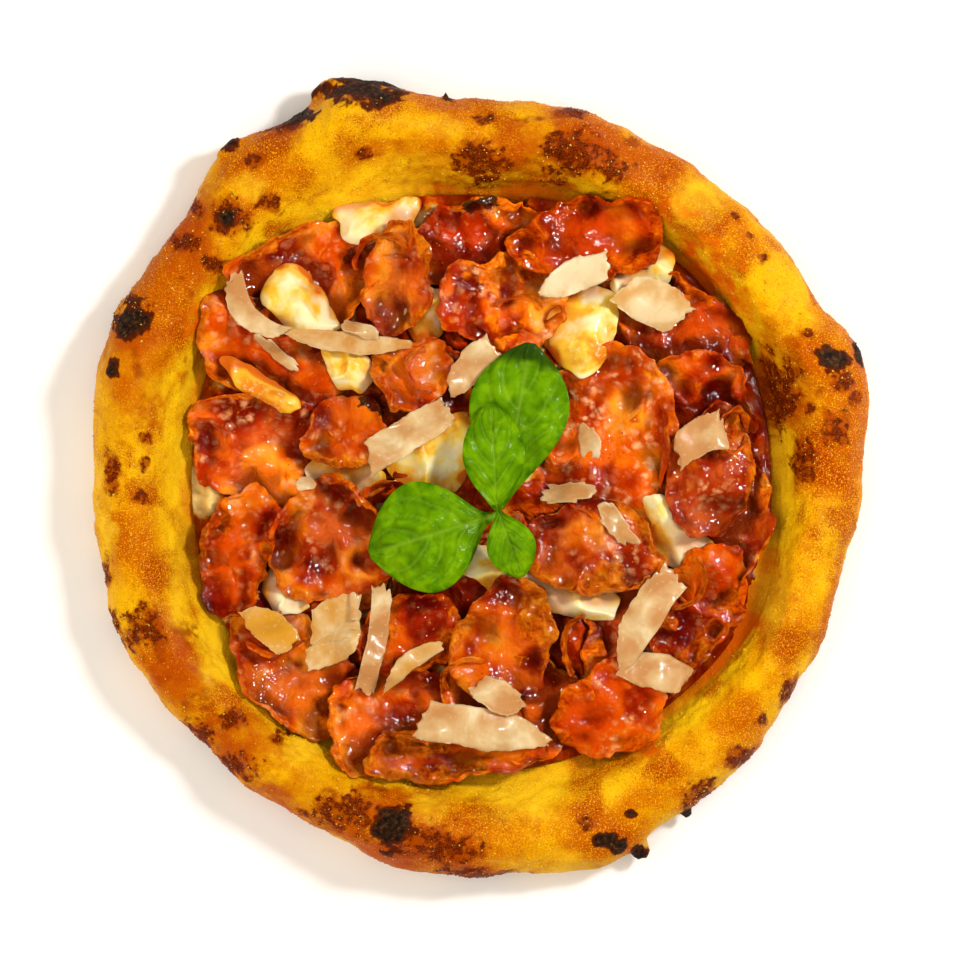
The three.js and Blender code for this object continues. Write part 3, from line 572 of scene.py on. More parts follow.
def makeCrust():
    source = refined("crust", "crustForm", 2)
    tree = rayTree(source)
    bpy.data.objects.remove(source)
    around, up = crust["around"], crust["up"]
    lowAngle, highAngle = crust["angles"]
    columns = []
    coreZ = crust["coreHeight"]
    for column in range(around):
        bearing = 2 * math.pi * column / around
        out = Vector((math.cos(bearing), math.sin(bearing), 0))
        widest = tree.ray_cast(out * crust["raysFrom"] + Vector((0, 0, coreZ)), -out)[0]
        coreR = min(widest.length, crust["widest"]) - crust["crownIn"]
        core = out * coreR + Vector((0, 0, coreZ))
        spots = [out * coreR * share for share in crust["underShares"]]
        for row in range(up):
            angle = math.radians(lowAngle + (highAngle - lowAngle) * row / (up - 1))
            way = out * math.cos(angle) + Vector((0, 0, math.sin(angle)))
            spots.append(tree.ray_cast(core, way)[0])
        foot = spots[-1]
        for share in crust["floorShares"]:
            floorZ = foot.z * share + crust["floorHeight"] * (1 - share)
            spots.append(Vector((foot.x * share, foot.y * share, floorZ)))
        columns.append(spots)
    rows = list(zip(*columns))
    points = [Vector((0, 0, 0))]
    for row in rows:
        points += row
    points.append(Vector((0, 0, crust["floorHeight"])))
    faces = []
    last = len(points) - 1
    for column in range(around):
        beside = (column + 1) % around
        faces.append((0, 1 + beside, 1 + column))
        for row in range(len(rows) - 1):
            a = 1 + row * around
            faces.append((a + column, a + beside, a + around + beside, a + around + column))
        top = 1 + (len(rows) - 1) * around
        faces.append((last, top + column, top + beside))
    piece = newPiece("bakedCrust", points, faces)

    points = readPoints(piece.data)
    count = len(points)
    rowOf = np.clip((np.arange(count) - 1) // around, 0, len(rows) - 1)
    first = len(crust["underShares"])
    share = (rowOf - first) / (up - 1)
    freedom = stepUp(0.02, 0.12, share) * stepUp(1.02, 0.93, share)   # none under it or on its floor
    normals = readNormals(piece.data)
    masks = {name: ovenMask(points, *mask) for name, mask in crust["masks"].items()}
    charred, browned, pale = masks["charred"], masks["browned"], masks["pale"]
    lumps = layeredNoise(points, 13 * mm, 3, 2)
    blisters = np.abs(layeredNoise(points, 5.5 * mm, 5, 2))
    grain = layeredNoise(points, 1.8 * mm, 8, 2)
    crackle = np.abs(layeredNoise(points, 3.2 * mm, 12, 3))
    rise = crust["lumps"] * lumps + crust["blisters"] * (0.4 - blisters) * 1.6 + crust["grain"] * grain
    rise += charred * (0.55 * mm * (crackle - 0.25) + 0.3 * mm)
    rise += browned * 0.25 * mm * grain
    points += normals * (rise * freedom)[:, None]
    points[:, 2] = np.maximum(points[:, 2], 0)
    writePoints(piece.data, points)
    slow = layeredNoise(points, 26 * mm, 17, 2)
    masks["pale"] = np.maximum(pale, stepUp(0.86, 1.0, share) * 0.8)
    # painted shade: the outer underside of the rim, turned from the light, darker
    masks["outsideShade"] = stepUp(0.42, 0.1, share)
    masks["crown"] = stepUp(0.3, 0.45, share) * stepUp(0.78, 0.58, share + 0.05 * slow)
    masks["slope"] = stepUp(0.66, 0.84, share + 0.05 * slow)
    masks["skirt"] = stepUp(0.06, 0.16, share) * stepUp(0.36, 0.22, share) * stepUp(-0.4, 0.2, slow)
    # the foot of the inner slope: sauce stain and painted shade, less where the dough is pale
    masks["foot"] = stepUp(0.93, 1.0, share) * (1 - 0.85 * pale)
    toast = stepUp(-0.25, 0.5, layeredNoise(points, 22 * mm, 15, 2))
    toast = np.maximum(toast, 1.6 * browned)
    clumps = 0.2 + 0.8 * stepUp(-0.15, 0.3, layeredNoise(points, 6 * mm, 16, 2))
    offFloor = stepUp(1 * mm, 2.5 * mm, points[:, 2])
    masks["grainy"] = freedom * (0.15 + 0.85 * toast) * clumps * offFloor * (1 - 0.6 * charred)
    addValues(piece.data, **masks)
    addPatches(piece.data, points, crust["patches"])
    return piece


def crustShade(name, grainDepth, glints=0.0):
    s = Shading(name)
    broad, patch = s.value("broad"), s.value("patch")
    fine = s.noise(620, 3, 0.6)
    grit = s.noise(1700, 2, 0.6)
    toasted = s.span(patch, 0.5, 0.72)
    gritShare = s.compute("MULTIPLY_ADD", toasted, 0.65, 0.35)
    # leopard spots lie only in the amber patches of toasting and painted shade
    spots = s.times(s.span(s.value("leopard"), 0.64, 0.76), s.span(s.value("shadedAmber"), 0, 0.6))
    torn = s.plus(s.value("browned"), s.span(s.noise(330, 4, 0.65), 0.34, 0.66, -0.6, 0.44))
    scorch = s.plus(s.value("charred"), s.span(patch, 0.3, 0.7, -0.22, 0.22))

    def uneven(mask, *settings):
        return s.times(s.value(mask), s.span(patch, *settings))

    colour = s.layers(
        s.ramp(broad, (0.34, 198, 96, 0), (0.48, 222, 134, 0), (0.64, 247, 186, 6)),
        (s.times(s.value("crown"), s.span(broad, 0.6, 0.36, 0.1, 0.7)), (190, 84, 0)),
        (uneven("slope", 0.3, 0.6, 0.95, 0.55), (254, 206, 18)),
        (s.times(s.value("skirt"), 0.85), (252, 212, 118)),
        (s.times(toasted, 0.8), (178, 64, 0)),
        (s.times(s.span(grit, 0.54, 0.68), gritShare), (124, 36, 0)),
        # light yellow grit specks, partly painted glints
        (s.times(s.span(grit, 0.46, 0.34), 0.75), (248, 196, 28)),
        (s.span(fine, 0.6, 0.72, 0, 0.5), (130, 52, 1)),
        (s.times(spots, 0.8), s.ramp(fine, (0.35, 66, 20, 1), (0.65, 152, 58, 1))),
        (uneven("pale", 0.3, 0.62, 0.95, 0.45), (253, 202, 30)),
        # painted shade on the rim's outer underside
        (s.times(s.value("outsideShade"), 0.15), (196, 92, 2)),
        # toasting and painted shade: orange-brown on slopes turned away from the light
        (uneven("shadedAmber", 0.3, 0.6, 0.4, 0.8), (182, 70, 0)),
        (s.span(s.value("browned"), 0.02, 0.7, 0, 0.8), (160, 60, 0)),
        (s.span(torn, 0.34, 0.84, 0, 0.95), s.ramp(grit, (0.36, 48, 12, 1), (0.64, 138, 48, 3))),
        (uneven("stained", 0.3, 0.55, 0.35, 0.85), (222, 80, 4)),
        # sauce stain and painted shade at the foot of the inner slope
        (uneven("foot", 0.4, 0.56, 0.3, 0.95), (208, 84, 4)),
        (s.span(scorch, 0.24, 0.46), (92, 30, 2)),
        (s.span(scorch, 0.4, 0.85),
         s.ramp(fine, (0.35, 20, 13, 9), (0.58, 56, 34, 18), (0.75, 112, 70, 34))))
    if glints:
        colour = s.blend(s.span(s.noise(900, 2), 0.56, 0.64, 0, glints), colour, (255, 208, 84))
    rough = s.plus(s.span(s.noise(160, 3), 0.35, 0.65, 0.3, 0.5), s.times(s.value("charred"), 0.25))
    normal = s.bump(fine, 0.5, grainDepth, s.bump(grit, 0.8, grainDepth))
    return s.finish(colour, rough, normal, **{
        "Coat Weight": 0.6 if glints else 0.09, "Coat Roughness": 0.06, "Specular IOR Level": 0.02})


crustPiece = makeCrust()
crustPiece.data.materials.append(crustShade("bakedDough", 0.4 * mm))
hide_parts("crust")
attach(crustPiece, "root")
print("crust ready:", len(crustPiece.data.polygons), "faces")


# melted mozzarella

mozzarella = {
    "levels": 3,
    "crease": 0.25,
    "flow": 0.9 * mm,
    "dimples": 0.12 * mm,
    "folds": 3.4 * mm,
    "lift": 0.7 * mm,
    "wider": 1.06,              # its top, against the plain solid
    "skirt": 0.34,              # how much wider the melted foot runs
    "flatter": 0.88,
    "oily": {"mozzarella_03": 0.07, "mozzarella_04": 0.16, "mozzarella_06": 0.06, "mozzarella_07": 0.05,
             "mozzarella_12": 0.07, "mozzarella_09": 0.06, "mozzarella_05": 0.05},
}


def mozzarellaShade():
    s = Shading("meltedMozzarella")
    oil = s.plus(s.noise(72, 3, 0.55, 0.3), s.value("oily"))
    curd = s.noise(520, 2)
    runny = s.plus(s.value("fromTop"), s.span(oil, 0.35, 0.65, -0.25, 0.3))
    colour = s.layers(
        s.ramp(oil, (0.44, 255, 240, 190), (0.53, 253, 226, 136), (0.6, 251, 204, 64), (0.7, 232, 140, 24)),
        (s.span(curd, 0.56, 0.68, 0, 0.5), (250, 228, 176)),
        (s.span(runny, 0.5, 0.85, 0, 0.85), (250, 190, 48)),
        (s.span(runny, 0.85, 1.1, 0, 0.9), (214, 92, 10)),
        # painted shade with pooled oil: darker orange in the hollows
        (s.times(s.value("deep"), 0.55), (196, 84, 10)))
    normal = s.bump(curd, 0.2, 0.3 * mm, s.bump(s.noise(260, 2), 0.25, 0.8 * mm))
    return s.finish(colour, 0.34, normal, **{
        "Coat Weight": 0.4, "Coat Roughness": 0.06, "Subsurface Weight": 0.35,
        "Subsurface Scale": 0.003, "Subsurface Radius": (1.0, 0.9, 0.75), "Specular IOR Level": 0.2})


def makeMozzarella():
    material = mozzarellaShade()
    pieces = []
    for nodeName in sorted(n for n in nodes if n.startswith("mozzarella")):
        piece = refined(nodeName, nodeName.replace("_", "Melt"), mozzarella["levels"],
                        mozzarella["crease"])
        points = readPoints(piece.data)
        low, high = points[:, 2].min(), points[:, 2].max()
        centre = points.mean(axis=0)
        fromTop = 1 - stepUp(low, high, points[:, 2])
        lobes = np.clip(layeredNoise(squashed(points, 0.2), 11 * mm, 79, 2), -0.6, 1)
        wider = mozzarella["wider"] + mozzarella["skirt"] * fromTop * (0.6 + 0.9 * lobes)
        points[:, :2] = centre[:2] + (points - centre)[:, :2] * wider[:, None]
        points[:, 2] = low + (points[:, 2] - low) * mozzarella["flatter"]
        points += threeNoises(points, 9 * mm, 81) * mozzarella["flow"] * np.array([1.6, 1.6, 0.5])
        dimples = mozzarella["dimples"] * layeredNoise(points, 3 * mm, 85, 2)
        points += readNormals(piece.data) * dimples[:, None]
        points[:, 2] += mozzarella["folds"] * foldLift(points) + mozzarella["lift"]
        writePoints(piece.data, points)
        addValues(piece.data, fromTop=fromTop, oily=mozzarella["oily"].get(nodeName, 0.0))
        piece.data.materials.append(material)
        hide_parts(nodeName)
        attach(piece, "root")
        pieces.append(piece)
    return pieces


mozzarellaPieces = makeMozzarella()
print("mozzarella ready")


# curled salami

salami = {
    "levels": 3,
    "crease": 0.75,
    "finerReach": 4.5 * mm,     # the edge's band of smaller squares
    "folds": 3.6 * mm,          # slow folds shared with what lies round it
    "sway": 1.9 * mm,           # and the sideways waves that break its round outline
    "curl": 4.6 * mm,           # how far crisp parts of the edge turn up
    "curlReach": 7 * mm,
    "roll": 2.2 * mm,           # and how far they roll inward
    "wave": 1.8 * mm,           # long waves of the edge
    "waveReach": 11 * mm,
    "crinkle": 0.7 * mm,        # frill near the cut edge
    "crinkleReach": 5 * mm,
    "bite": 1.1 * mm,           # how far the torn edge wanders
    "spread": (1.1, 1.1, 1.0),
    "domes": 0.55 * mm,         # rounded lumps of fat and meat
    "cobbles": 0.28 * mm,
    "foam": 0.3 * mm,           # blistered skin of the crisp edge
    "wrinkles": 0.42 * mm,
    "calmFrom": 108 * mm,       # close to the rim the edges lie flatter
    "calmTo": 138 * mm,
    "patches": {"broad": 15 * mm, "tone": 20 * mm, "patchy": 12 * mm, "oily": 16 * mm, "frayed": 13 * mm},
}

# each slice as it is baked: how dark red, how fat, how burnt, and how light against the rest
sliceTones = {
    "salami_01": (0.35, 0.35, 0.3, 1.25), "salami_02": (0.3, 0.4, 0.3, 1.2),
    "salami_03": (0.85, 0.5, 0.15, 1.35), "salami_04": (0.5, 0.5, 0.2, 1.6),
    "salami_05": (0.7, 0.5, 0.15, 0.8), "salami_06": (0.5, 0.2, 0.1, 0.8),
    "salami_07": (0.12, 0.85, 0.15, 1.2), "salami_08": (0.9, 0.25, 0.2, 1.0),
    "salami_09": (0.5, 0.5, 0.2, 1.0), "salami_10": (0.3, 0.6, 0.2, 1.2), "salami_11": (0.4, 0.6, 0.2, 1.3),
    "salami_12": (0.7, 0.4, 0.1, 1.3), "salami_13": (0.65, 0.3, 0.2, 1.3),
    "salami_14": (0.6, 0.5, 0.2, 1.0), "salami_15": (0.4, 0.75, 0.1, 1.35),
    "salami_16": (0.7, 0.5, 0.2, 0.95), "salami_17": (0.3, 0.85, 0.1, 0.75),
    "salami_18": (0.3, 0.3, 0.3, 0.8), "salami_19": (0.95, 0.75, 0.25, 1.0),
    "salami_20": (0.85, 0.7, 0.2, 1.0), "salami_21": (0.25, 0.3, 0.2, 1.0),
    "salami_22": (0.85, 0.3, 0.1, 0.7), "salami_23": (0.75, 0.5, 0.5, 0.8),
    "salami_24": (0.2, 0.5, 0.4, 1.0), "salami_25": (0.15, 0.5, 0.7, 1.0),
    "salami_26": (0.5, 0.2, 0.3, 0.8), "salami_27": (0.4, 0.4, 0.3, 1.0), "salami_28": (0.4, 0.2, 0.5, 1.0),
}


def salamiShade():
    s = Shading("crispSalami")
    broad, rim = s.value("broad"), s.value("fromRim")
    grain = s.noise(240, 4, 0.62, 0.6)
    fine = s.noise(900, 3, 0.6)
    bright = s.ramp(broad, (0.32, 158, 36, 0), (0.45, 202, 70, 0), (0.56, 226, 106, 4), (0.7, 244, 146, 30))
    dark = s.ramp(broad, (0.32, 108, 14, 0), (0.46, 152, 36, 3), (0.58, 174, 52, 8), (0.7, 206, 90, 30))
    darkShare = s.plus(s.value("redness"), s.span(s.value("tone"), 0.35, 0.65, -0.5, 0.5))
    nodules = s.span(s.cells(250, s.warped(210, 6 * mm)), 0.62, 0.1)
    fatShare = s.times(nodules, s.span(s.value("patchy"), 0.4, 0.62, 0.15, 1.1))
    fatShare = s.times(fatShare, s.span(s.value("pinkness"), 0, 1, 0.15, 0.95))
    rimNoise = s.plus(rim, s.span(s.value("frayed"), 0.34, 0.66, -0.5, 0.55))
    crispShare = s.span(rimNoise, 0.48, 0.0, 0.0, 0.95)
    charred = s.plus(s.value("charred"), s.span(grain, 0.3, 0.7, -0.25, 0.25))
    colour = s.layers(
        s.blend(s.span(darkShare, 0.25, 0.85), bright, dark),
        (fatShare, s.ramp(grain, (0.35, 222, 126, 68), (0.65, 248, 194, 136))),
        (s.times(s.span(s.value("oily"), 0.54, 0.66, 0.0, 0.7), rim), (226, 98, 14)),
        (s.span(s.noise(300, 3), 0.62, 0.72, 0.0, 0.35), (240, 150, 56)),
        (crispShare, s.ramp(grain, (0.32, 150, 52, 0), (0.45, 208, 92, 2), (0.58, 232, 126, 14),
                            (0.75, 248, 168, 52))),
        (s.times(s.span(rimNoise, 0.1, -0.25), s.value("burnt")),
         s.ramp(fine, (0.3, 46, 18, 4), (0.7, 110, 46, 8))),
        (s.span(charred, 0.3, 0.7), s.ramp(fine, (0.3, 24, 13, 6), (0.7, 70, 36, 12))),
        # painted shade with pooled juice: dark red in the hollows between slices
        (s.times(s.value("deep"), 0.8), (88, 8, 0)))
    colour = s.deepened(s.blend(1.0, colour, s.value("light"), "MULTIPLY"), s.value("depth"))
    rough = s.plus(s.span(grain, 0.3, 0.7, 0.25, 0.42), s.times(crispShare, 0.15))
    cobbles = s.cells(620, s.warped(500, 0.8 * mm))
    wet = s.bump(s.compute("SUBTRACT", 1.0, s.times(cobbles, cobbles)), 0.45, 0.7 * mm)
    wet = s.bump(s.noise(1150, 2), 0.2, 0.3 * mm, wet)
    normal = s.bump(fine, 0.3, 0.35 * mm, s.bump(grain, 0.4, 1.0 * mm, wet))
    return s.finish(colour, rough, normal, wet, **{
        "Coat Weight": 0.85, "Coat Roughness": 0.02, "Specular IOR Level": 0.02})


# spots that caught the oven's flame, in mm: middle x and y, half size
toppingScorches = [
    (-84.5, 69), (-81, 72), (-49.5, 86), (-65, 51.6), (-43, 30), (-40, 28.5), (-4, 104), (3, 107),
]
scorchSize = 4.2 * mm


def scorchMask(points):
    total = np.zeros(len(points))
    torn = layeredNoise(points, 3 * mm, 27, 3)
    for x, y in toppingScorches:
        away = np.hypot(points[:, 0] - x * mm, points[:, 1] - y * mm) / scorchSize
        total = np.maximum(total, stepUp(1.3, 0.3, away + 0.5 * torn))
    return total


def shapeSlice(piece, nodeName, seed):
    # waves, folds, an edge that turns up in places, and a torn outline
    points = readPoints(piece.data)
    finerEdge(piece, rimDistance(nodeName, points), salami["finerReach"])
    points = readPoints(piece.data)
    away = rimDistance(nodeName, points)
    centre = points.mean(axis=0)
    points = centre + (points - centre) * salami["spread"]
    inward = wayIn(centre, points, 0.2)
    flat = squashed(points, 0.2)
    sway = threeNoises(points, 10 * mm, 91)
    frill = threeNoises(points, 4.4 * mm, 95)
    calm = 0.35 + 0.65 * stepUp(salami["calmTo"], salami["calmFrom"], fromMiddle(points))
    turnUp = stepUp(-0.3, 0.6, smoothNoise(flat, 12 * mm, 88 + seed)) * calm
    torn = np.clip(layeredNoise(flat, 6 * mm, 99, 3), -0.1, 1)
    lip = np.clip(1 - away / salami["curlReach"], 0, 1) ** 2
    nearRim = stepUp(salami["crinkleReach"], 0, away)
    moved = points + sway * salami["sway"] * np.array([1, 1, 0.6])
    moved += frill * (nearRim * salami["crinkle"])[:, None] * np.array([0.8, 0.8, 1.0])
    wave = smoothNoise(flat, 10 * mm, 131 + seed) * stepUp(salami["waveReach"], 0, away)
    moved[:, 2] += salami["folds"] * foldLift(points) + salami["curl"] * turnUp * lip + salami["wave"] * wave
    moved += inward * (lip * (turnUp * salami["roll"] + torn * salami["bite"]))[:, None]
    writePoints(piece.data, moved)
    domes = np.abs(layeredNoise(points, 5.2 * mm, 104, 2))
    cobbles = np.abs(layeredNoise(points, 2.3 * mm, 105, 2))
    foam = layeredNoise(points, 1.7 * mm, 107, 2)
    rise = (salami["domes"] * domes + salami["cobbles"] * cobbles) * (1 - nearRim)
    rise += salami["foam"] * foam * nearRim
    creased = stepUp(0.35, 0.0, np.abs(layeredNoise(flat * np.array([1.7, 0.7, 1]), 7 * mm, 109, 2)))
    rise += salami["wrinkles"] * creased * stepUp(-0.1, 0.5, layeredNoise(flat, 18 * mm, 111, 2))
    moved += readNormals(piece.data) * rise[:, None]
    writePoints(piece.data, moved)
    return away


def makeSalami():
    material = salamiShade()
    pieces = []
    for number, nodeName in enumerate(sorted(n for n in nodes if n.startswith("salami"))):
        piece = refined(nodeName, nodeName.replace("_", "Slice"), salami["levels"], salami["crease"])
        away = shapeSlice(piece, nodeName, number * 3)
        redness, pinkness, burnt, light = sliceTones[nodeName]
        points = readPoints(piece.data)
        addValues(piece.data, fromRim=np.clip(away / (6 * mm), 0, 1), redness=redness, pinkness=pinkness,
                  burnt=burnt, light=max(light, 1), depth=1 - math.log(min(light, 1)),
                  charred=scorchMask(points))
        addPatches(piece.data, points, salami["patches"])
        piece.data.materials.append(material)
        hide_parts(nodeName)
        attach(piece, "root")
        pieces.append(piece)
    print("faces in slices:", sum(len(piece.data.polygons) for piece in pieces))
    return pieces


salamiPieces = makeSalami()
print("salami ready:", len(salamiPieces), "slices")


# tomato sauce, with oil and melted cheese, drawn up between the slices

sauce = {
    "around": 560,
    "rings": 100,
    "bins": 96,                 # sectors in which its plain outline is read
    "footMiddle": 4 * mm,
    "pools": 1.5 * mm,
    "crumbs": 0.7 * mm,
    "ridges": 1.3 * mm,
    "belowTops": 2.4 * mm,      # how far under the slices round it the pulp stands
    "mostRise": 5.5 * mm,
    "shore": 8 * mm,            # it thins out towards the rim over this much
    "clear": 0.25 * mm,         # under what lies on it
    "melts": [(-108, -6, 8, 11), (-97, -54, 4, 3), (-66, -93, 7, 4)],   # cheese gone runny in it
}


def sauceShade():
    s = Shading("tomatoSauceGloss")
    pulp = s.noise(150, 5, 0.6, 0.5)
    seeds = s.noise(520, 3)
    oily = s.plus(s.value("cheesy"), s.span(s.noise(190, 3), 0.3, 0.7, -0.3, 0.3))
    colour = s.layers(
        s.ramp(pulp, (0.32, 128, 14, 0), (0.46, 176, 42, 0), (0.58, 208, 80, 2), (0.72, 236, 128, 12)),
        (s.span(seeds, 0.62, 0.72, 0, 0.5), (226, 130, 24)),
        (s.span(oily, 0.3, 0.6), (236, 142, 24)),
        (s.span(oily, 0.62, 0.9), (250, 216, 132)),
        # painted shade with pooled juice: dark red in the hollows
        (s.times(s.value("deep"), 0.8), (84, 6, 0)))
    wet = s.bump(pulp, 0.5, 1.6 * mm)
    return s.finish(colour, 0.3, s.bump(seeds, 0.4, 0.5 * mm, wet), wet, **{
        "Coat Weight": 0.5, "Coat Roughness": 0.04, "Specular IOR Level": 0.03})


def heightsUnder(tree, points, start, way):
    # where straight lines up or down meet the plain solid, with the last one kept past its edge
    heights = []
    for x, y, _ in points:
        hit = tree.ray_cast(Vector((x, y, start)), Vector((0, 0, way)))[0]
        heights.append(hit.z if hit else (heights[-1] if heights else 5 * mm))
    return np.array(heights)


def makeSauce(above):
    # above: the pieces that lie on it
    grid = topGrid(above)
    roof = np.full((gridSide, gridSide), 1.0)
    for piece in above:
        points = readPoints(piece.data)
        np.minimum.at(roof, gridSpots(points), points[:, 2])
    roof = -widened(-roof, 1) - sauce["clear"]
    source = refined("sauce", "sauceForm", 2, 0.6)
    solid = readPoints(source.data)
    tree = rayTree(source)
    bpy.data.objects.remove(source)
    bins = sauce["bins"]
    turn = np.arctan2(solid[:, 1], solid[:, 0])
    radius = fromMiddle(solid)
    which = ((turn + math.pi) / (2 * math.pi) * bins).astype(int) % bins
    reach = np.array([radius[which == k].max() for k in range(bins)])
    middles = (np.arange(bins) + 0.5) / bins * 2 * math.pi - math.pi

    around, rings = sauce["around"], sauce["rings"]
    bearings = np.arange(around) / around * 2 * math.pi - math.pi
    edge = np.interp(bearings, middles, reach, period=2 * math.pi)
    shares = 1 - (np.arange(rings) / rings) ** 1.1 * 0.995            # the outer ring first
    radii = shares[:, None] * edge[None, :]
    top = np.stack([radii * np.cos(bearings), radii * np.sin(bearings), radii * 0], axis=-1).reshape(-1, 3)
    top[:, 2] = heightsUnder(tree, top * 0.997, 50 * mm, -1)
    foot = top[:around].copy()
    foot[:, 2] = heightsUnder(tree, foot * 0.99, -10 * mm, 1)

    inside = stepUp(0, sauce["shore"], np.tile(edge, rings) - fromMiddle(top))
    level = gridAt(evened(widened(grid, 4), 6), top) - sauce["belowTops"]
    drawn = np.clip(level - top[:, 2], 0, sauce["mostRise"])
    pools = layeredNoise(top, 9 * mm, 71, 3)
    crumbs = np.abs(layeredNoise(top, 2.8 * mm, 74, 2))
    ridges = 0.5 - np.abs(layeredNoise(top, 7 * mm, 76, 2)) * 1.5
    relief = sauce["pools"] * pools + sauce["ridges"] * ridges
    cheesy = stepUp(0.15, 0.5, layeredNoise(top, 13 * mm, 72, 3)) * inside
    for melt in sauce["melts"]:
        away = ovalShare(top, *melt)
        cheesy = np.maximum(cheesy, stepUp(1.4, 0.5, away + 0.5 * layeredNoise(top, 6 * mm, 78, 2)))
    bare = top[:, 2].copy()
    top[:, 2] += inside * (drawn * (0.75 + 0.35 * pools) + relief) + sauce["crumbs"] * crumbs
    x, y = gridSpots(top)
    top[:, 2] = np.maximum(np.minimum(top[:, 2], roof[x, y]), np.minimum(bare, top[:, 2]) - 1 * mm)

    last = len(top)
    points = np.vstack([top, foot, [[0, 0, sauce["footMiddle"]]], [[0, 0, top[-around:, 2].mean()]]])
    faces = []
    for column in range(around):
        beside = (column + 1) % around
        for row in range(rings - 1):
            a = row * around
            faces.append((a + column, a + beside, a + around + beside, a + around + column))
        faces.append((last - around + column, last - around + beside, last + around + 1))
        faces.append((last + column, last + beside, beside, column))
        faces.append((last + beside, last + column, last + around))
    piece = newPiece("tomatoSauce", points, faces)
    addValues(piece.data, cheesy=np.concatenate([cheesy, np.zeros(around + 2)]))
    piece.data.materials.append(sauceShade())
    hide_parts("sauce")
    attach(piece, "root")
    return piece


saucePiece = makeSauce(mozzarellaPieces + salamiPieces)
print("sauce ready:", len(saucePiece.data.polygons), "faces")


# hollows between the wet toppings, where juice gathers and little light comes: the materials darken them with
# pooled juice and painted shade
hollows = {"reach": 6, "start": -0.4 * mm, "full": -4.2 * mm}   # reach in grid squares


def markHollows(pieces):
    grid = topGrid([crustPiece] + pieces)
    level = evened(widened(grid, 1), hollows["reach"])
    for piece in pieces:
        points = readPoints(piece.data)
        below = points[:, 2] - gridAt(level, points)
        # how far under the tops round it: pooled juice and painted shade
        addValues(piece.data, deep=stepUp(hollows["start"], hollows["full"], below))
    return grid


layTop = markHollows([saucePiece] + mozzarellaPieces + salamiPieces)
print("hollows marked")


# crisp scraps of salami that curled up on edge, in mm: middle, half sizes, first bearing, sweep, height
curls = {
    "scraps": [
        (96.7, 17.4, 5.0, 7.4, 0, 350, 8.0), (-35, -9, 9.5, 6.0, 20, 150, 6.0),
        (-80, -60, 11, 7.0, 200, 150, 5.5), (40.5, -66, 8.0, 12.0, 95, 140, 6.5),
        (-38, 83, 10, 9.0, 30, 170, 5.5), (64, 12, 6.0, 22.0, -45, 95, 5.5),
        (-20, 42, 8.0, 7.0, 100, 190, 5.5), (14, 62, 9.0, 7.0, 20, 130, 5.0),
        (-4, -78, 10, 7.0, 60, 150, 5.5), (76, -40, 9.0, 9.0, 250, 170, 5.5),
    ],
    "along": 72,
    "up": 9,
    "thick": 0.9 * mm,
    "lean": 1.6 * mm,           # the lip stands further out than the foot
    "sunk": 1.2 * mm,
    "wave": 1.3 * mm,
    "blistered": 0.22 * mm,
    "footDepth": 0.8,           # its fromRim value at the foot, falling to 0 at the lip
    "tones": {"redness": 0.3, "pinkness": 0.2, "burnt": 0.35, "charred": 0, "deep": 0, "light": 1.0,
              "depth": 1.1},
}


def makeCurls(grid):
    points, faces, values = [], [], []
    level = evened(grid, 1)
    for x, y, halfX, halfY, start, sweep, height in curls["scraps"]:
        first = len(points)
        along, up = curls["along"], curls["up"]
        for side in (1, -1):
            for k in range(along + 1):
                share = k / along
                turn = math.radians(start + sweep * share)
                out = Vector((math.cos(turn), math.sin(turn), 0))
                foot = Vector((x * mm + out.x * halfX * mm, y * mm + out.y * halfY * mm, 0))
                fade = math.sin(math.pi * share) ** 0.4
                for j in range(up + 1):
                    rise = j / up
                    thick = curls["thick"] / 2 * (1 - 0.6 * rise ** 3)
                    spot = foot + out * (curls["lean"] * rise * rise + side * thick)
                    spot.z = (height * mm * fade + curls["sunk"]) * rise - curls["sunk"]
                    points.append(spot)
                    values.append((1 - rise) * curls["footDepth"])
        rows = up + 1
        other = first + (along + 1) * rows
        for k in range(along):
            for j in range(up):
                a = k * rows + j
                faces.append((first + a, first + a + rows, first + a + rows + 1, first + a + 1))
                faces.append((other + a, other + a + 1, other + a + rows + 1, other + a + rows))
            a = k * rows + up
            faces.append((first + a, first + a + rows, other + a + rows, other + a))
            a = k * rows
            faces.append((first + a, other + a, other + a + rows, first + a + rows))
        for j in range(up):
            faces.append((first + j, first + j + 1, other + j + 1, other + j))
            a = along * rows + j
            faces.append((first + a, other + a, other + a + 1, first + a + 1))
    piece = newPiece("curledScraps", points, faces)
    spots = readPoints(piece.data)
    spots[:, 2] += gridAt(evened(widened(level, 1), 2), spots)
    free = 1 - np.array(values) / curls["footDepth"]
    for axis in range(3):
        spots[:, axis] += curls["wave"] * free * smoothNoise(spots, 5.5 * mm, 151 + axis)
    blisters = curls["blistered"] * layeredNoise(spots, 1.7 * mm, 157, 2)
    spots += readNormals(piece.data) * blisters[:, None]
    writePoints(piece.data, spots)
    addValues(piece.data, fromRim=values, **curls["tones"])
    addPatches(piece.data, spots, salami["patches"])
    piece.data.materials.append(salamiPieces[0].data.materials[0])
    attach(piece, "root")
    np.maximum.at(grid, gridSpots(spots), spots[:, 2] - 2 * mm)


makeCurls(layTop)
print("curled scraps ready")


# hard-cheese shavings

shavings = {
    "levels": 3,
    "crease": 0.85,
    "chip": 1.9 * mm,           # depth of the broken edge
    "bend": 1.4 * mm,
    "gap": 0.2 * mm,            # clear of what it lies on
    "thinning": 0.3 * mm,
    "thin": {"shaving_01": 0.02, "shaving_03": -0.12, "shaving_04": -0.08, "shaving_05": 0.07,
             "shaving_07": 0.16, "shaving_08": 0.08, "shaving_11": 0.08, "shaving_13": -0.02,
             "shaving_14": 0.05},
    "yellow": {"shaving_02": 0.35, "shaving_04": 0.4, "shaving_09": 0.95, "shaving_10": 0.6,
               "shaving_12": 0.7},
}


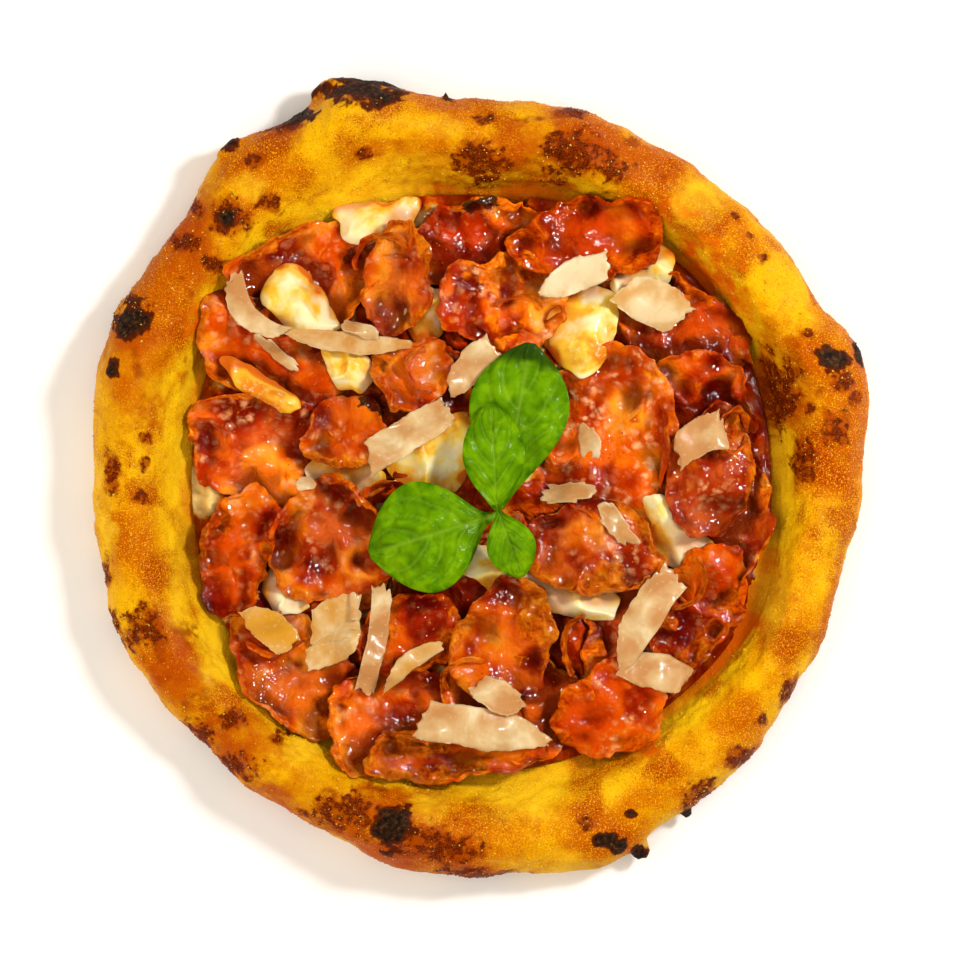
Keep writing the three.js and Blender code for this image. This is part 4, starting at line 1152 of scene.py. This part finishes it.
def shavingShade():
    s = Shading("hardCheese")
    veil = s.noise(75, 3, 0.5, 0.3)
    crystals = s.noise(560, 3)
    sheer = s.compute("SUBTRACT", veil, s.value("thin"))
    colour = s.layers(
        s.ramp(sheer, (0.36, 196, 140, 88), (0.48, 211, 170, 118), (0.56, 220, 188, 138),
               (0.66, 238, 216, 174)),
        (s.times(s.value("yellow"), s.span(veil, 0.34, 0.6, 0.9, 0.5)), (218, 154, 16)),
        (s.span(s.value("fromRim"), 0.24, 0.0, 0.0, 0.5), (236, 206, 156)),
        (s.span(crystals, 0.6, 0.7, 0, 0.35), (238, 210, 160)))
    normal = s.bump(crystals, 0.35, 0.3 * mm, s.bump(veil, 0.5, 1.1 * mm))
    return s.finish(colour, 0.3, normal, **{
        "Coat Weight": 0.35, "Coat Roughness": 0.08, "Subsurface Weight": 0.35,
        "Subsurface Scale": 0.003, "Subsurface Radius": (1.0, 0.85, 0.7), "Specular IOR Level": 0.3})


def makeShavings(grid):
    material = shavingShade()
    names = sorted((n for n in nodes if n.startswith("shaving")), key=lambda n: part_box(n)[1][2])
    for nodeName in names:                 # the lowest first, as each lies on those before
        piece = refined(nodeName, nodeName.replace("shaving_", "shavedChip"), shavings["levels"],
                        shavings["crease"])
        points = readPoints(piece.data)
        away = rimDistance(nodeName, points)
        flat = squashed(points, 0.1)
        nick = np.abs(layeredNoise(flat, 5 * mm, 121, 3)) * 1.8 - 0.3
        splinter = layeredNoise(flat, 1.8 * mm, 123, 2) * 0.35
        centre = points.mean(axis=0)
        grainWay = np.linalg.eigh(np.cov((points - centre)[:, :2].T))[1][:, 1]   # its long way
        along = np.abs((points - centre)[:, :2] @ grainWay)
        ends = 0.3 + stepUp(0.55, 0.95, along / along.max())
        inward = wayIn(centre, points, 0)
        chipped = stepUp(2.6 * mm, 0, away) * (np.clip(nick, -0.2, 1) + splinter) * ends * shavings["chip"]
        moved = points + inward * chipped[:, None]
        moved[:, 2] += shavings["bend"] * smoothNoise(flat, 9 * mm, 125)
        moved[:, 2] += layOn(grid, moved, shavings["gap"], 3)
        moved -= readNormals(piece.data) * (stepUp(1.6 * mm, 0, away) * shavings["thinning"])[:, None]
        writePoints(piece.data, moved)
        np.maximum.at(grid, gridSpots(moved), moved[:, 2])
        addValues(piece.data, fromRim=np.clip(away / (4 * mm), 0, 1),
                  yellow=shavings["yellow"].get(nodeName, 0.1), thin=shavings["thin"].get(nodeName, 0.0))
        piece.data.materials.append(material)
        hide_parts(nodeName)
        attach(piece, "root")


makeShavings(layTop)
print("shavings ready")


# small broken bits of the same cheese, in mm: middle, half sizes, turn
looseChips = {
    "bits": [
        (-46.3, 56.8, 7.2, 2.7, -20), (-78.8, 47.7, 10.5, 2.4, -39), (-68.5, -2.3, 3.6, 2.4, 10),
        (32.2, -6.3, 9.6, 3.8, 4), (41.5, 14.9, 6.6, 3.6, 100), (52.3, -19.3, 10.0, 3.8, -52),
        (-49.2, -50.5, 5.0, 1.5, 95),
    ],
    "around": 48,
    "rings": 5,
    "thick": 0.45 * mm,
    "ragged": 0.3,
    "bend": 1.2 * mm,
    "gap": 0.4 * mm,
    "yellow": 0.2,
    "thin": 0.09,
}


def makeLooseChips(grid):
    points, faces, away = [], [], []
    around, rings = looseChips["around"], looseChips["rings"]
    angles = np.arange(around) / around * 2 * math.pi
    squarish = [np.sign(wave) * np.abs(wave) ** 0.7 for wave in (np.cos(angles), np.sin(angles))]
    for x, y, halfX, halfY, turn in looseChips["bits"]:
        rim = np.stack([squarish[0] * halfX, squarish[1] * halfY], axis=1) * mm
        spin = math.radians(turn)
        rim = rim @ np.array([[math.cos(spin), math.sin(spin)], [-math.sin(spin), math.cos(spin)]])
        placed = np.column_stack([rim + np.array([x, y]) * mm, np.zeros(around)])
        rim *= (1 + looseChips["ragged"] * layeredNoise(placed, 3 * mm, 171, 3))[:, None]
        for side in (1, -1):
            points.append(np.array([[x * mm, y * mm, side * looseChips["thick"] / 2]]))
            for ring in range(1, rings + 1):
                share = ring / rings
                lift = side * looseChips["thick"] / 2 * (1 - 0.6 * share ** 4)
                points.append(np.column_stack([rim * share + np.array([x, y]) * mm, np.full(around, lift)]))
            away += [1.0] + [1 - ring / rings for ring in range(1, rings + 1) for _ in range(around)]
        first = sum(len(group) for group in points) - 2 * (1 + rings * around)
        other = first + 1 + rings * around
        for k in range(around):
            beside = (k + 1) % around
            faces.append((first, first + 1 + k, first + 1 + beside))
            faces.append((other, other + 1 + beside, other + 1 + k))
            for ring in range(rings - 1):
                a = 1 + ring * around
                b = a + around
                faces.append((first + a + k, first + b + k, first + b + beside, first + a + beside))
                faces.append((other + a + k, other + a + beside, other + b + beside, other + b + k))
            a = 1 + (rings - 1) * around
            faces.append((first + a + k, other + a + k, other + a + beside, first + a + beside))
    piece = newPiece("looseChips", np.vstack(points), faces)
    spots = readPoints(piece.data)
    spots[:, 2] += looseChips["bend"] * smoothNoise(squashed(spots, 0), 7 * mm, 175)
    spots[:, 2] += gridAt(evened(widened(grid, 2), 2), spots) + looseChips["gap"]
    writePoints(piece.data, spots)
    np.maximum.at(grid, gridSpots(spots), spots[:, 2])
    addValues(piece.data, fromRim=away, yellow=looseChips["yellow"], thin=looseChips["thin"])
    piece.data.materials.append(bpy.data.materials["hardCheese"])
    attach(piece, "root")


makeLooseChips(layTop)
print("loose chips ready")


# basil sprig

# each leaf as it grows, in mm: its stalk's end, the bearing of its tip, and its measures
basilLeaves = {
    "basil_leaf_1": {
        "foot": (7.8, -11.5), "bearing": 80, "length": 64, "width": 39, "belly": 0.6, "stalk": 2},
    "basil_leaf_2": {
        "foot": (5.8, -14.5), "bearing": 197, "length": 51, "width": 44, "belly": 0.52, "stalk": 5},
    "basil_leaf_3": {
        "foot": (5.8, -12.5), "bearing": 93, "length": 41, "width": 24, "belly": 0.5, "stalk": 2},
    "basil_leaf_4": {
        "foot": (5.8, -10.5), "bearing": 289, "length": 29, "width": 19, "belly": 0.52, "stalk": 4},
}
leafForm = {
    "levels": 3,
    "crease": 0.6,
    "veinPairs": 3,
    "sweep": 0.5,               # how far the side veins run on towards the tip
    "veinDepth": 0.25 * mm,
    "midrib": 0.45 * mm,
    "puff": 0.8 * mm,
    "crumple": 0.5 * mm,
    "wave": 1.0 * mm,
    "gap": 0.5 * mm,            # over what it lies on
    "leastLift": 0.6 * mm,
    "stalkHalf": 0.9,           # in mm
}


def leafCoordinates(points, leaf):
    # share along the leaf, and across it from -1 to 1
    turn = math.radians(leaf["bearing"])
    x = points[:, 0] / mm - leaf["foot"][0]
    y = points[:, 1] / mm - leaf["foot"][1]
    along = (x * math.cos(turn) + y * math.sin(turn)) / leaf["length"]
    across = -x * math.sin(turn) + y * math.cos(turn)
    bare = leaf["stalk"] / leaf["length"]
    blade = np.clip((along - bare) / (1.006 - bare), 0, 1)
    skew = math.log(0.5) / math.log(leaf["belly"])
    thin = leafForm["stalkHalf"]
    half = thin + (leaf["width"] / 2 - thin) * np.sin(np.pi * blade ** skew) ** 0.8
    return along, across / half, across


def basilShade():
    s = Shading("basilGreen")
    mottled = s.noise(130, 4, 0.6, 0.3)
    colour = s.layers(
        s.ramp(mottled, (0.34, 44, 88, 0), (0.5, 74, 124, 0), (0.66, 114, 160, 2)),
        # painted highlight: the puffed parts between the veins lighter
        (s.times(s.value("puffed"), 0.4), (126, 176, 4)),
        (s.times(s.value("vein"), 0.4), (150, 190, 40)),
        # painted shade: the folded tip of the first leaf dark
        (s.times(s.value("wilted"), 0.85), (30, 54, 8)))
    normal = s.bump(s.noise(900, 3), 0.2, 0.15 * mm, s.bump(mottled, 0.25, 0.5 * mm))
    return s.finish(colour, 0.38, normal, **{
        "Coat Weight": 0.06, "Coat Roughness": 0.12, "Specular IOR Level": 0.02})


def makeBasil(grid):
    material = basilShade()
    for nodeName, leaf in basilLeaves.items():
        piece = refined(nodeName, nodeName.replace("basil_leaf_", "basilLeaf"), leafForm["levels"],
                        leafForm["crease"])
        points = readPoints(piece.data)
        along, side, across = leafCoordinates(points, leaf)
        normals = readNormals(piece.data)
        up = np.where(normals[:, 2:3] >= 0, normals, -normals)
        inside = stepUp(1.05, 0.75, np.abs(side)) * stepUp(0.0, 0.12, along) * stepUp(1.02, 0.9, along)
        drift = smoothNoise(points, 11 * mm, 139) * 0.4 + np.where(side > 0, 0.35, 0)
        lane = (along - leafForm["sweep"] * np.abs(side) ** 1.3) * (leafForm["veinPairs"] + 1.5) + drift
        cell = np.abs(lane - np.round(lane)) * 2           # 0 on a side vein, 1 between two
        reach = stepUp(0.02, 0.1, np.abs(side))
        sideVein = stepUp(0.26, 0.0, cell) * reach * stepUp(1.0, 0.6, np.abs(side))
        midVein = stepUp(0.075, 0.0, np.abs(across) / (leaf["width"] / 2)) * stepUp(1.0, 0.85, along)
        puffed = np.sin(np.clip(cell, 0, 1) * math.pi / 2) * reach * inside
        size = leaf["width"] / 40
        crumple = layeredNoise(points, 6 * mm, 141, 2)
        rise = leafForm["puff"] * size * puffed * (0.5 + 1.4 * crumple)
        rise += leafForm["crumple"] * crumple * inside
        rise -= leafForm["veinDepth"] * sideVein * inside + leafForm["midrib"] * midVein
        points += up * rise[:, None]
        wave = smoothNoise(points, 9 * mm, 147) * stepUp(0.5, 1.0, np.abs(side))
        points[:, 2] += wave * leafForm["wave"]
        points[:, 2] += np.maximum(layOn(grid, points, leafForm["gap"], 5), leafForm["leastLift"])
        writePoints(piece.data, points)
        np.maximum.at(grid, gridSpots(points), points[:, 2])
        # painted shade on the folded tip of the first leaf
        wilted = stepUp(0.85, 0.92, along + 0.03 * crumple) if nodeName == "basil_leaf_1" else 0
        # the puff share also lightens the raised parts in the colour: a painted highlight
        addValues(piece.data, vein=np.clip(sideVein * inside * 0.8 + midVein, 0, 1),
                  puffed=np.clip(puffed, 0, 1), wilted=wilted)
        piece.data.materials.append(material)
        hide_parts(nodeName)
        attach(piece, "root")


makeBasil(layTop)
print("basil ready")


# grains and beads, scattered by Geometry Nodes over what is already shaped
def scatterTree(name):
    # one tree: points on a surface, thinned by its grainy value, each with a small rounded grain
    tree = bpy.data.node_groups.new(name, "GeometryNodeTree")
    sockets = {}
    for label, kind in (("Surface", "Geometry"), ("Density", "Float"), ("Smallest", "Float"),
                        ("Largest", "Float"), ("Flatness", "Float"), ("Seed", "Int"), ("Finish", "Material")):
        item = tree.interface.new_socket(label, in_out="INPUT", socket_type="NodeSocket" + kind)
        sockets[label] = item.identifier
    tree.interface.new_socket("Grains", in_out="OUTPUT", socket_type="NodeSocketGeometry")

    given = addNode(tree, "NodeGroupInput").outputs
    weight = addNode(tree, "GeometryNodeInputNamedAttribute", {"Name": "grainy"}, data_type="FLOAT")
    amount = addNode(tree, "ShaderNodeMath", {0: given["Density"], 1: weight.outputs["Attribute"]},
                     operation="MULTIPLY")
    spread = addNode(tree, "GeometryNodeDistributePointsOnFaces", {
        "Mesh": given["Surface"], "Density": amount.outputs[0], "Seed": given["Seed"]})
    size = addNode(tree, "FunctionNodeRandomValue", {
        2: given["Smallest"], 3: given["Largest"], "Seed": given["Seed"]}, data_type="FLOAT").outputs[1]
    height = addNode(tree, "ShaderNodeMath", {0: size, 1: given["Flatness"]}, operation="MULTIPLY")
    scale = addNode(tree, "ShaderNodeCombineXYZ", {0: size, 1: size, 2: height.outputs[0]})
    grain = addNode(tree, "GeometryNodeMeshIcoSphere", {"Radius": 1.0, "Subdivisions": 1})
    smooth = addNode(tree, "GeometryNodeSetShadeSmooth", {0: grain.outputs["Mesh"]})
    place = addNode(tree, "GeometryNodeInstanceOnPoints", {
        "Points": spread.outputs["Points"], "Rotation": spread.outputs["Rotation"],
        "Instance": smooth.outputs[0], "Scale": scale.outputs[0]})
    real = addNode(tree, "GeometryNodeRealizeInstances", {0: place.outputs[0]})
    finish = addNode(tree, "GeometryNodeSetMaterial", {
        "Geometry": real.outputs[0], "Material": given["Finish"]})
    addNode(tree, "NodeGroupOutput", {"Grains": finish.outputs[0]})
    return tree, sockets


def scattered(name, surface, inputs):
    # surface: a bare mesh with a grainy value at each point
    host = addObject(name, surface)
    tree, sockets = scatterTree(name + "Scatter")
    sprinkle = host.modifiers.new("sprinkle", "NODES")
    sprinkle.node_group = tree
    for label, amount in inputs.items():
        sprinkle[sockets[label]] = amount
    baked(host)
    grains = readPoints(host.data)
    grains[:, 2] = np.maximum(grains[:, 2], 0)    # none sunk into what the pizza lies on
    writePoints(host.data, grains)
    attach(host, "root")
    print(name, "has", len(host.data.polygons), "faces")


def upperSkin(pieces, grid, name):
    # the faces of those pieces that see the sky, as one bare mesh
    corners, faces, total = [], [], 0
    for piece in pieces:
        mesh = piece.data
        count = len(mesh.polygons)
        starts, sizes = np.empty(count, dtype=np.int32), np.empty(count, dtype=np.int32)
        normals, loops = np.empty(count * 3, dtype=np.float32), np.empty(len(mesh.loops), dtype=np.int32)
        mesh.polygons.foreach_get("loop_start", starts)
        mesh.polygons.foreach_get("loop_total", sizes)
        mesh.polygons.foreach_get("normal", normals)
        mesh.loops.foreach_get("vertex_index", loops)
        points = readPoints(mesh)
        chosen = (sizes == 4) & (normals.reshape(-1, 3)[:, 2] > 0.55)
        quads = loops[starts[chosen][:, None] + np.arange(4)]
        middle = points[quads].mean(axis=1)
        quads = quads[middle[:, 2] > gridAt(evened(grid, 1), middle) - 0.8 * mm]
        used, packed = np.unique(quads, return_inverse=True)
        corners.append(points[used])
        faces.append(packed.reshape(-1, 4) + total)
        total += len(used)
    mesh = bpy.data.meshes.new(name)
    mesh.from_pydata(np.vstack(corners).tolist(), [], np.vstack(faces).tolist())
    return mesh


def beadShade():
    s = Shading("orangeOil")
    colour = s.ramp(s.noise(500, 2), (0.35, 176, 52, 3), (0.6, 226, 112, 20))
    return s.finish(colour, 0.2, **{"Coat Weight": 1.0, "Coat Roughness": 0.03, "Specular IOR Level": 0.1})


scattered("toastedGrains", crustPiece.data.copy(), {
    "Density": 400000.0, "Smallest": 0.2 * mm, "Largest": 0.55 * mm, "Flatness": 0.75, "Seed": 5,
    "Finish": crustShade("toastedGrain", 0.15 * mm, 0.8)})
wetSkin = upperSkin(salamiPieces + [saucePiece], layTop, "wetSkin")
wetPoints = readPoints(wetSkin)
addValues(wetSkin, grainy=stepUp(-0.1, 0.6, layeredNoise(wetPoints, 14 * mm, 181, 2)))
scattered("oilBeads", wetSkin, {
    "Density": 36000.0, "Smallest": 0.2 * mm, "Largest": 0.5 * mm, "Flatness": 0.5, "Seed": 9,
    "Finish": beadShade()})
